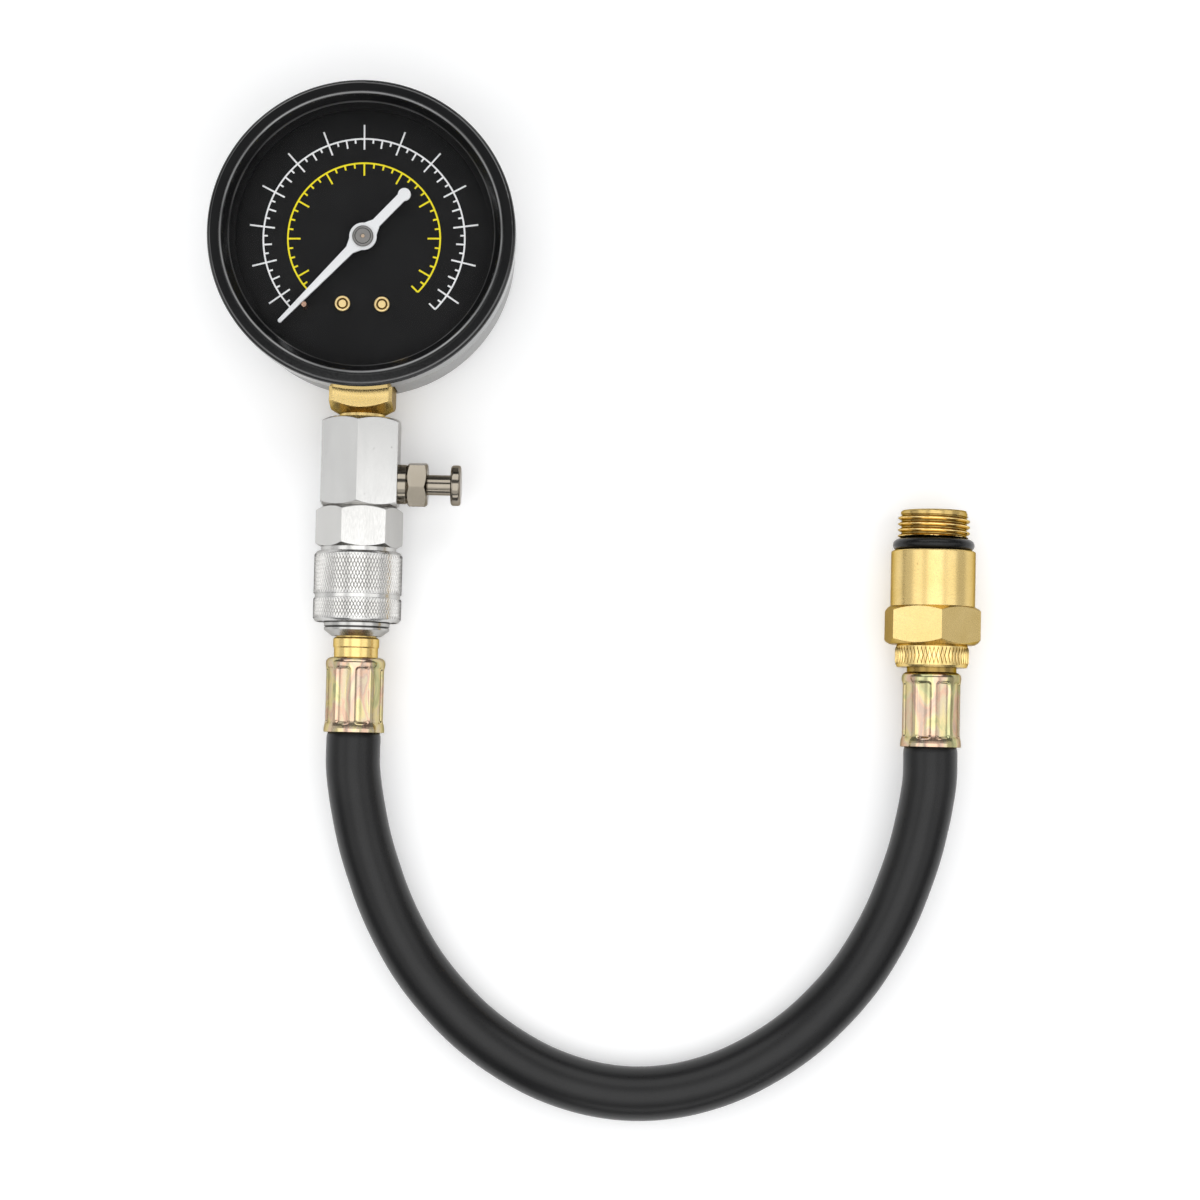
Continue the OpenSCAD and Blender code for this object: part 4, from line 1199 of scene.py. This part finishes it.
@dataclass
class Knurl:
    """A band of diamond knurling: small blunt pyramids in staggered rows, sunk a little in the valley."""

    SIZES: ClassVar[tuple[str, ...]] = ("Valley", "Height", "Start", "Length")
    COUNTS: ClassVar[tuple[str, ...]] = ("Around", "Rows")
    SUNK: ClassVar[float] = 0.02
    BLUNT: ClassVar[float] = 0.7
    NUDGE: ClassVar[float] = 0.01

    name: str
    surface: Surface
    axis: Axis
    valley: float
    height: float
    start: float
    length: float
    around: int
    rows: int

    def build(self, graph: GeometryGraph) -> bpy.types.Object:
        """Makes the band.

        Args:
            graph: The knurl's tree.

        Returns:
            The band.
        """
        values = named(self, self.SIZES + self.COUNTS)
        values |= {"Valley": self.valley - self.SUNK, "Height": self.height + self.SUNK}
        return graph.make(self.name, self.surface, self.axis, values)

    @classmethod
    def tree(cls) -> GeometryGraph:
        """Makes the tree of a knurled band.

        Returns:
            The tree.
        """
        graph = GeometryGraph("diamond_knurl", cls.SIZES, cls.COUNTS)
        get = graph.inputs
        lines = graph.math("MULTIPLY_ADD", get["Rows"], 2.0, -1.0)
        index = graph.index()
        nudged = graph.math("ADD", index, cls.NUDGE)
        row = graph.math("FLOOR", graph.math("DIVIDE", nudged, get["Around"]))
        column = graph.math("MULTIPLY_ADD", graph.math("MODULO", row, 2.0), 0.5, index)
        angle = graph.math("DIVIDE", graph.math("MULTIPLY", column, 2 * math.pi), get["Around"])
        half_rise = graph.math("DIVIDE", graph.math("MULTIPLY", get["Length"], 0.5), get["Rows"])
        rise = graph.math("MULTIPLY_ADD", graph.math("ADD", row, 1.0), half_rise, get["Start"])
        cone = {"Vertices": 4, "Radius Top": cls.BLUNT, "Radius Bottom": 1.0, "Depth": 1.0}
        diamond = graph.node("GeometryNodeMeshCone", cone).outputs["Mesh"]
        half_width = graph.math("DIVIDE", graph.math("MULTIPLY", get["Valley"], math.pi), get["Around"])
        band = graph.spread(
            graph.math("MULTIPLY", get["Around"], lines),
            graph.polar(get["Valley"], angle, rise),
            diamond,
            Rotation=graph.turned(0.0, math.pi / 2, angle),
            Scale=graph.vector(half_rise, half_width, get["Height"]),
        )
        graph.close(band)
        return graph


@dataclass
class ValveAndCoupler:
    """The valve block, its release valve and the quick coupler with its knurled sleeve.

    Each band of the sleeve's knurling has a start along the stem, a length and a number of rows.
    """

    sleeve_r: float = 11.0
    sleeve_span: tuple[float, float] = (77.0, 96.0)
    knurl_h: float = 0.13
    bands: tuple[tuple[float, float, int], ...] = ((78.3, 10.0, 5), (89.3, 5.2, 3))
    around: int = 84

    def build(self, shop: Workshop, knurl: GeometryGraph) -> None:
        """Dresses the pieces and knurls the sleeve.

        Args:
            shop: Makes the pieces.
            knurl: The knurl's tree.
        """
        shop.dress(Surface.ALLOY, "valve_block")
        shop.dress(Surface.COUPLER, "coupler_body")
        shop.dress(Surface.NICKEL, "valve_body", "plunger")
        shop.dress(Surface.SEAL, "plunger_seal", "coupler_o_ring")
        shop.dress(Surface.STEEL, "lock_balls", "spring_washer", "retaining_ring")
        self.springs(shop)
        shell = shop.copy("sleeve_shell", "sleeve", Surface.SLEEVE)
        valley = self.sleeve_r - self.knurl_h
        shop.turn_down(shell, Axis.STEM, self.sleeve_span, valley)
        shop.settle(shell, "sleeve_set", ["sleeve"])
        for number, (start, length, rows) in enumerate(self.bands, 1):
            name = f"sleeve_knurl_{number}"
            band = Knurl(
                name, Surface.KNURL, Axis.STEM, valley, self.knurl_h, start, length, self.around, rows
            ).build(knurl)
            shop.settle(band, "sleeve_set")

    @staticmethod
    def springs(shop: Workshop) -> None:
        """Replaces the coil springs by merged copies that ride on their bodies.

        Args:
            shop: Makes the pieces.
        """
        rows = (
            ("plunger_spring", "gauge", "plunger_push", (1, 0, 0), (5.5, -60.3, 13), 2.42 / 5.5),
            ("sleeve_spring", "gauge", "sleeve_slide", (0, 1, 0), (0, -93.4, 13), 2.9 / 5.9),
        )
        for name, body, joint, axis, anchor, keep in rows:
            spring = shop.copy(f"{name}_coil", name, Surface.STEEL)
            shop.settle(spring, body, [name])
            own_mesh(spring)


@dataclass
class Ferrule:
    """A crimped ferrule with pressed panels that have round ends.

    Its closed end lies at the height top of its axis, and its mouth further along where way is 1, or
    back where way is -1. The direction turn, in degrees, is that of the middle of one panel.
    """

    ROWS: ClassVar[tuple[int, ...]] = (7, 16, 12, 22)
    POINTS_PER_PANEL: ClassVar[int] = 36

    name: str
    node: str
    axis: Axis
    top: float
    turn: float
    way: float
    radius: float = 7.45
    length: float = 18.6
    bore: float = 6.2
    neck: float = 3.4
    wall: float = 1.2
    lip: tuple[float, float] = (0.25, 0.12)
    shoulder: float = 1.4
    panels: int = 9
    panel_depth: float = 0.4
    panel_ends: tuple[float, float] = (2.3, 1.9)
    half_rib: float = 0.5
    corner: float = 1.1
    soft: float = 0.6
    waist: float = 0.2
    waist_ends: tuple[float, float] = (1.6, 1.2)
    waist_ease: float = 1.8
    flare: float = 0.14
    flare_from: float = 2.4
    flare_run: float = 1.6

    def build(self, shop: Workshop) -> None:
        """Makes the ferrule's shell and lets it ride on the hose.

        Args:
            shop: Makes the piece.
        """
        length = self.length
        at_shoulder, at_end, between, at_mouth = self.ROWS
        steps = np.concatenate(
            [
                self.shoulder * (1 - np.cos(np.linspace(0, math.pi / 2, at_shoulder))),
                np.linspace(1.5, 3.6, at_end),
                np.linspace(4.0, length - 4.2, between),
                np.linspace(length - 3.8, length - 0.3, at_mouth),
                [length],
            ]
        )
        heights = [self.top + self.way * t for t in steps]
        rim = self.top + self.way * length
        floor = self.top + self.way * self.wall
        narrower, further = self.lip
        inside = [
            (self.radius - narrower, rim + self.way * further),
            (self.bore, rim),
            (self.bore, floor),
            (self.neck, floor),
            (self.neck, self.top),
        ]
        sides = self.panels * self.POINTS_PER_PANEL
        shell = shop.shell(self.name, self.outside, heights, sides, self.axis, Surface.ZINC, inside)
        shop.settle(shell, "hose_set", [self.node])

    @staticmethod
    def eased(share: np.ndarray) -> np.ndarray:
        """Keeps a share to 0 to 1 and eases it in and out."""
        kept = np.clip(share, 0, 1)
        return kept * kept * (3 - 2 * kept)

    def outside(self, angle: np.ndarray, height: np.ndarray) -> np.ndarray:
        """Gives the outside radius.

        Args:
            angle: Directions about the axis, in radians.
            height: Heights along the axis.

        Returns:
            The radius at each.
        """
        t = (height - self.top) * self.way
        low, high = self.panel_ends[0], self.length - self.panel_ends[1]
        half_width = math.pi * self.radius / self.panels - self.half_rib
        step = 2 * math.pi / self.panels
        across = np.abs(((angle - math.radians(self.turn) + step / 2) % step - step / 2) * self.radius)
        along = np.abs(t - (low + high) / 2)
        past_side = np.maximum(across - (half_width - self.corner), 0)
        past_end = np.maximum(along - ((high - low) / 2 - self.corner), 0)
        press = self.eased((self.corner - np.hypot(past_side, past_end)) / self.soft)
        rise = np.maximum(self.shoulder - t, 0)
        round_off = self.shoulder - np.sqrt(np.maximum(self.shoulder**2 - rise**2, 0))
        flare = self.flare * np.clip((t - self.length + self.flare_from) / self.flare_run, 0, 1) ** 2
        inner = np.minimum(t - self.waist_ends[0], self.length - self.waist_ends[1] - t)
        sunk = self.waist * self.eased(inner / self.waist_ease)
        return self.radius - round_off + flare - sunk - self.panel_depth * press


@dataclass
class Hose:
    """The rubber hose on its route, with a crimped ferrule at each end.

    The route's places are counted from the start, which is the mouth of the gauge's ferrule. The hose
    reaches a little way into both ferrules and is pressed in there.
    """

    radius: float = 6.75
    crimp: float = 6.05
    crimp_run: float = 1.6
    crimp_share: float = 0.15
    inside: float = 3.0
    sides: int = 56
    steps: int = 8
    sharp: float = 50.0
    start: Triple = (0.0, -122.6, 13.0)
    route: tuple[Triple, ...] = (
        (0, 0, 0), (0, -8, 0), (0.7, -14, -0.2), (1.8, -20, -0.6), (3.4, -27, -1.2), (5.6, -34, -1.9),
        (8.6, -42, -2.8), (12.5, -50, -3.7), (17.4, -58, -4.6), (23.5, -65.5, -5.3), (31, -72.8, -5.9),
        (40, -79.2, -6.15), (50, -84.3, -6.2), (61, -87.6, -6.2), (72, -88.7, -6.2), (83, -87.6, -6.2),
        (94, -84.3, -6.15), (104, -79.2, -6), (113, -72.8, -5.6), (120.5, -65.5, -5),
        (126.6, -58, -4.2), (131.5, -50, -3.4), (135.4, -42, -2.6), (138.4, -34, -1.9),
        (140.6, -27, -1.4), (142.2, -20, -0.9), (143.3, -14, -0.6), (144, -8, -0.4), (144, -0.4, -0.4),
    )
    ferrules: tuple[Ferrule, ...] = field(
        default_factory=lambda: (
            Ferrule("gauge_ferrule_shell", "gauge_ferrule", Axis.STEM, 104.0, 69.7, 1.0),
            Ferrule("engine_ferrule_shell", "engine_ferrule", Axis.END, 18.6, -71.5, -1.0),
        )
    )

    @property
    def path(self) -> list[tuple[float, ...]]:
        """The points of the centreline, in metres."""
        return [tuple(p * MM) for p in self.centreline()]

    def build(self, shop: Workshop) -> bpy.types.Object:
        """Makes the hose and its ferrules.

        Args:
            shop: Makes the pieces.

        Returns:
            The hose.
        """
        piece = self.tube(shop, self.centreline())
        shop.settle(piece, "hose_set", ["hose"])
        for ferrule in self.ferrules:
            ferrule.build(shop)
        shop.dress(Surface.TURNED_BRASS, "hose_plug")
        return piece

    def centreline(self) -> np.ndarray:
        """Gives close points on a smooth curve through the route, from inside one ferrule to the other.

        Returns:
            Points in millimetres.
        """
        way = np.array(self.route, float) + np.array(self.start)
        into = (0, self.inside, 0)
        way = np.concatenate([[way[0] + into], way, [way[-1] + into]])
        ends = np.concatenate([[2 * way[0] - way[1]], way, [2 * way[-1] - way[-2]]])
        points = []
        for i in range(1, len(ends) - 2):
            a, b, c, d = ends[i - 1 : i + 3]
            square, cube = 2 * a - 5 * b + 4 * c - d, 3 * b - a - 3 * c + d
            for t in np.linspace(0, 1, self.steps, endpoint=False):
                points.append(0.5 * (2 * b + (c - a) * t + square * t**2 + cube * t**3))
        points.append(way[-1])
        return np.array(points)

    def tube(self, shop: Workshop, line: np.ndarray) -> bpy.types.Object:
        """Makes the rubber tube along a line, pressed in at both ferrules.

        Args:
            shop: Makes the piece.
            line: The centreline in millimetres.

        Returns:
            The tube.
        """
        heading = np.gradient(line, axis=0)
        heading /= np.linalg.norm(heading, axis=1)[:, None]
        side = np.cross(heading, (0.0, 0.0, 1.0))
        side /= np.linalg.norm(side, axis=1)[:, None]
        up = np.cross(side, heading)
        run = np.concatenate([[0], np.cumsum(np.linalg.norm(np.diff(line, axis=0), axis=1))])
        near = np.minimum(run, run[-1] - run) - self.inside
        ease = np.clip(near / self.crimp_run + self.crimp_share, 0, 1)
        radius = self.crimp + (self.radius - self.crimp) * np.sqrt(ease * (2 - ease))
        turn = np.linspace(0, 2 * math.pi, self.sides, endpoint=False)
        ring = np.cos(turn)[None, :, None] * side[:, None] + np.sin(turn)[None, :, None] * up[:, None]
        points = (line[:, None] + ring * radius[:, None, None]).reshape(-1, 3)
        faces = quads(len(line), self.sides)
        faces += [tuple(range(self.sides)), tuple(range(len(points) - self.sides, len(points)))]
        return shop.mesh("hose_tube", points, faces, Surface.HOSE, self.sharp)


@dataclass
class Thread:
    """The adapter's thread, with a plain lead at its tip."""

    SIZES: ClassVar[tuple[str, ...]] = ("Start", "End", "Crest", "Root", "Pitch", "Lead", "Lead Radius")
    ROWS_PER_TURN: ClassVar[float] = 16.0
    POINTS: ClassVar[int] = 145
    FLANK: ClassVar[tuple[float, float]] = (0.88, 0.14)
    LEAD_SLOPE: ClassVar[float] = 1.4
    FOOT_SLOPE: ClassVar[float] = 1.6
    TIP_EDGE: ClassVar[float] = 0.3
    MERGE: ClassVar[float] = 0.0005

    start: float = 51.9
    end: float = 59.0
    crest: float = 9.0
    root: float = 8.08
    pitch: float = 1.5
    lead: float = 1.3
    lead_radius: float = 8.3

    def build(self, surface: Surface) -> bpy.types.Object:
        """Makes the thread.

        Args:
            surface: Its finish.

        Returns:
            The thread.
        """
        values = named(self, self.SIZES)
        values["Turns"] = math.ceil((self.end - self.start) / self.pitch) + 2
        return self.tree().make("adapter_thread", surface, Axis.END, values)

    @classmethod
    def tree(cls) -> GeometryGraph:
        """Makes the tree of a thread, whose rows of points follow the helix.

        Returns:
            The tree.
        """
        graph = GeometryGraph("screw_thread", cls.SIZES, ["Turns"])
        get = graph.inputs
        rows = graph.math("MULTIPLY_ADD", get["Turns"], cls.ROWS_PER_TURN, 1.0)
        grid = {"Size X": 1.0, "Size Y": 1.0, "Vertices X": cls.POINTS, "Vertices Y": rows}
        sheet = graph.node("GeometryNodeMeshGrid", grid).outputs["Mesh"]
        u, v, _ = graph.spot()
        wound = graph.math("MULTIPLY", v, get["Turns"])
        risen = graph.math("SUBTRACT", graph.math("SUBTRACT", wound, u), 0.5)
        raw = graph.math("MULTIPLY_ADD", risen, get["Pitch"], get["Start"])
        height = graph.math("MINIMUM", graph.math("MAXIMUM", raw, get["Start"]), get["End"])
        wave = graph.math("ABSOLUTE", graph.math("MULTIPLY_ADD", graph.math("FRACT", wound), 2.0, -1.0))
        flank = graph.fade(wave, *cls.FLANK, 0.0, 1.0)
        depth = graph.math("SUBTRACT", get["Crest"], get["Root"])
        full = graph.math("MULTIPLY_ADD", flank, depth, get["Root"])
        from_tip = graph.math("SUBTRACT", get["End"], height)
        past = graph.math("MAXIMUM", graph.math("SUBTRACT", from_tip, get["Lead"]), 0.0)
        cone = graph.math("MULTIPLY_ADD", past, cls.LEAD_SLOPE, get["Lead Radius"])
        edge = graph.math("ADD", graph.math("SUBTRACT", get["Lead Radius"], cls.TIP_EDGE), from_tip)
        from_foot = graph.math("SUBTRACT", height, get["Start"])
        foot = graph.math("ADD", get["Root"], graph.math("MULTIPLY", from_foot, cls.FOOT_SLOPE))
        radius = graph.math("MINIMUM", graph.math("MINIMUM", full, cone), graph.math("MINIMUM", edge, foot))
        angle = graph.math("MULTIPLY", u, 2 * math.pi)
        wall = graph.smoothed(graph.moved(sheet, graph.polar(radius, angle, height)))
        sewn = graph.node("GeometryNodeMergeByDistance", {"Geometry": wall, "Distance": cls.MERGE})
        graph.close(sewn.outputs[0])
        return graph


@dataclass
class EngineEnd:
    """The hose end with its knurled collar, and the threaded adapter with its valve core.

    The collar's knurling has a start along the axis of the end, and a length.
    """

    collar_r: float = 9.2
    collar_span: tuple[float, float] = (19.8, 25.5)
    knurl_h: float = 0.26
    collar: tuple[float, float] = (20.3, 4.7)
    around: int = 54
    rows: int = 1
    thread: Thread = field(default_factory=Thread)
    thread_core: float = 7.9

    def build(self, shop: Workshop, knurl: GeometryGraph) -> list[bpy.types.Object]:
        """Dresses the engine end, cuts its thread and knurls its collar.

        Args:
            shop: Makes the pieces.
            knurl: The knurl's tree.

        Returns:
            The new pieces.
        """
        shop.dress(Surface.SEAL, "adapter_o_ring", "core_seal")
        shop.dress(Surface.TURNED_BRASS, "core_body", "core_pin")
        valley = self.collar_r - self.knurl_h
        fitting = shop.copy("hose_end", "end_fitting", Surface.END_BRASS)
        shop.turn_down(fitting, Axis.END, self.collar_span, valley)
        shop.settle(fitting, "hose_set", ["end_fitting"])
        band = Knurl(
            "collar_knurl", Surface.COLLAR_BRASS, Axis.END, valley, self.knurl_h, *self.collar, self.around,
            self.rows,
        ).build(knurl)
        shop.settle(band, "hose_set")
        body = shop.copy("adapter_body", "adapter", Surface.BRASS)
        shop.turn_down(body, Axis.END, (self.thread.start, self.thread.end), self.thread_core)
        shop.settle(body, "hose_set", ["adapter"])
        thread = shop.settle(self.thread.build(Surface.THREAD_BRASS), "hose_set")
        spring = shop.copy("core_spring_coil", "core_spring", Surface.STEEL)
        shop.settle(spring, "hose_set", ["core_spring"])
        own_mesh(spring)
        return [fitting, band, body, thread]


@dataclass(frozen=True)
class SoftLight:
    """A rectangular light that the camera doesn't see, with lengths in metres and its power in watts."""

    name: str
    spot: Triple
    aim: Triple
    size: tuple[float, float]
    power: float

    def build(self) -> None:
        """Hangs the light and points it at its aim."""
        data = bpy.data.lights.new(self.name, "AREA")
        data.shape = "RECTANGLE"
        data.size, data.size_y = self.size
        data.energy = self.power
        made = linked(self.name, data)
        made.location = self.spot
        made.rotation_euler = (Vector(self.aim) - Vector(self.spot)).to_track_quat("-Z", "Y").to_euler()
        made.visible_camera = False


@dataclass
class Studio:
    """The pale floor, the soft lights and the camera above the gauge."""

    target: Triple = (60.7, -88.15, 12.5)
    distance: float = 700.0
    tilt: float = 3.0
    roll: float = 1.3
    lens: float = 83.85
    sensor: float = 36.0
    clip: tuple[float, float] = (0.05, 20.0)
    room: Colour = (0.95, 0.97, 1.0)
    room_light: float = 0.2
    floor_half: float = 3.0
    floor_tones: tuple[Colour, Colour] = ((0.94, 0.94, 0.94), (0.96, 0.96, 0.96))
    floor_glow: float = 0.13
    lights: tuple[SoftLight, ...] = (
        SoftLight("near_light", (0.07, -0.3, 0.42), (0.07, -0.3, 0.0), (1.46, 0.62), 2.7),
        SoftLight("high_light", (0.1, -0.5, 1.7), (0.1, -0.5, 0.0), (1.3, 1.3), 5.4),
        SoftLight("rear_light", (0.0, 0.95, 0.95), (0.03, 0.0, 0.0), (2.0, 0.9), 10.0),
        SoftLight("left_light", (-1.5, -0.1, 0.8), (0.06, -0.1, 0.0), (0.9, 2.0), 3.8),
        SoftLight("right_light", (1.6, -0.1, 0.8), (0.06, -0.1, 0.0), (0.9, 2.0), 3.1),
        SoftLight("front_light", (0.3, -1.5, 0.6), (0.06, -0.1, 0.0), (1.2, 0.4), 2.6),
    )

    def camera(self) -> None:
        """Hangs the camera almost straight above the part, a little towards the hose, with its roll."""
        data = bpy.data.cameras.new("camera")
        data.lens, data.sensor_width = self.lens, self.sensor
        data.clip_start, data.clip_end = self.clip
        made = linked("camera", data)
        roll, tilt = math.radians(self.roll), math.radians(self.tilt)
        right = Vector((math.cos(roll), math.sin(roll), 0))
        ahead = Vector((-math.sin(roll), math.cos(roll), 0))
        up = ahead * math.cos(tilt) + Vector((0, 0, math.sin(tilt)))
        back = Vector((0, 0, math.cos(tilt))) - ahead * math.sin(tilt)
        spot = (Vector(self.target) + back * self.distance) * MM
        made.matrix_world = Matrix.Translation(spot) @ Matrix((right, up, back)).transposed().to_4x4()
        bpy.context.scene.camera = made

    def surroundings(self) -> None:
        """Lays the floor and lights the room evenly."""
        world = bpy.data.worlds.new("room")
        world.use_nodes = True
        room = world.node_tree.nodes["Background"]
        room.inputs["Color"].default_value = (*self.room, 1.0)
        room.inputs["Strength"].default_value = self.room_light
        bpy.context.scene.world = world
        bpy.context.scene.view_settings.view_transform = "Standard"
        graph = ShaderGraph("pale_floor")
        dark, pale = self.floor_tones
        graph.dress(
            {
                "Base Color": graph.ramp(graph.noise(even(6.0), 2.0), [(0.3, dark), (0.7, pale)]),
                "Roughness": 0.7,
                "Emission Color": (1.0, 1.0, 1.0, 1.0),
                "Emission Strength": self.floor_glow,
            }
        )
        data = bpy.data.meshes.new("floor")
        far = self.floor_half
        data.from_pydata([(-far, -far, 0), (far, -far, 0), (far, far, 0), (-far, far, 0)], [], [(0, 1, 2, 3)])
        data.materials.append(graph.material)
        floor = linked("floor", data)

    def build(self) -> None:
        """Sets up the camera, the room and the lights."""
        self.camera()
        self.surroundings()
        for light in self.lights:
            light.build()


def main() -> None:
    """Builds the sub-assemblies round the frame."""
    logging.basicConfig(level=logging.INFO, format="%(name)s: %(message)s")
    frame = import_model()
    shop = Workshop(frame["nodes"])
    Studio().build()
    hose = Hose()
    tube = hose.build(shop)
    knurl = Knurl.tree()
    end_pieces = EngineEnd().build(shop, knurl)
    GaugeHead().build(shop)
    ValveAndCoupler().build(shop, knurl)
    hose.path
    left = sorted(set(frame["nodes"]) - shop.dressed)
    if left:
        log.warning("CAD nodes without a finish: %s", left)


if __name__ == "__main__":
    main()
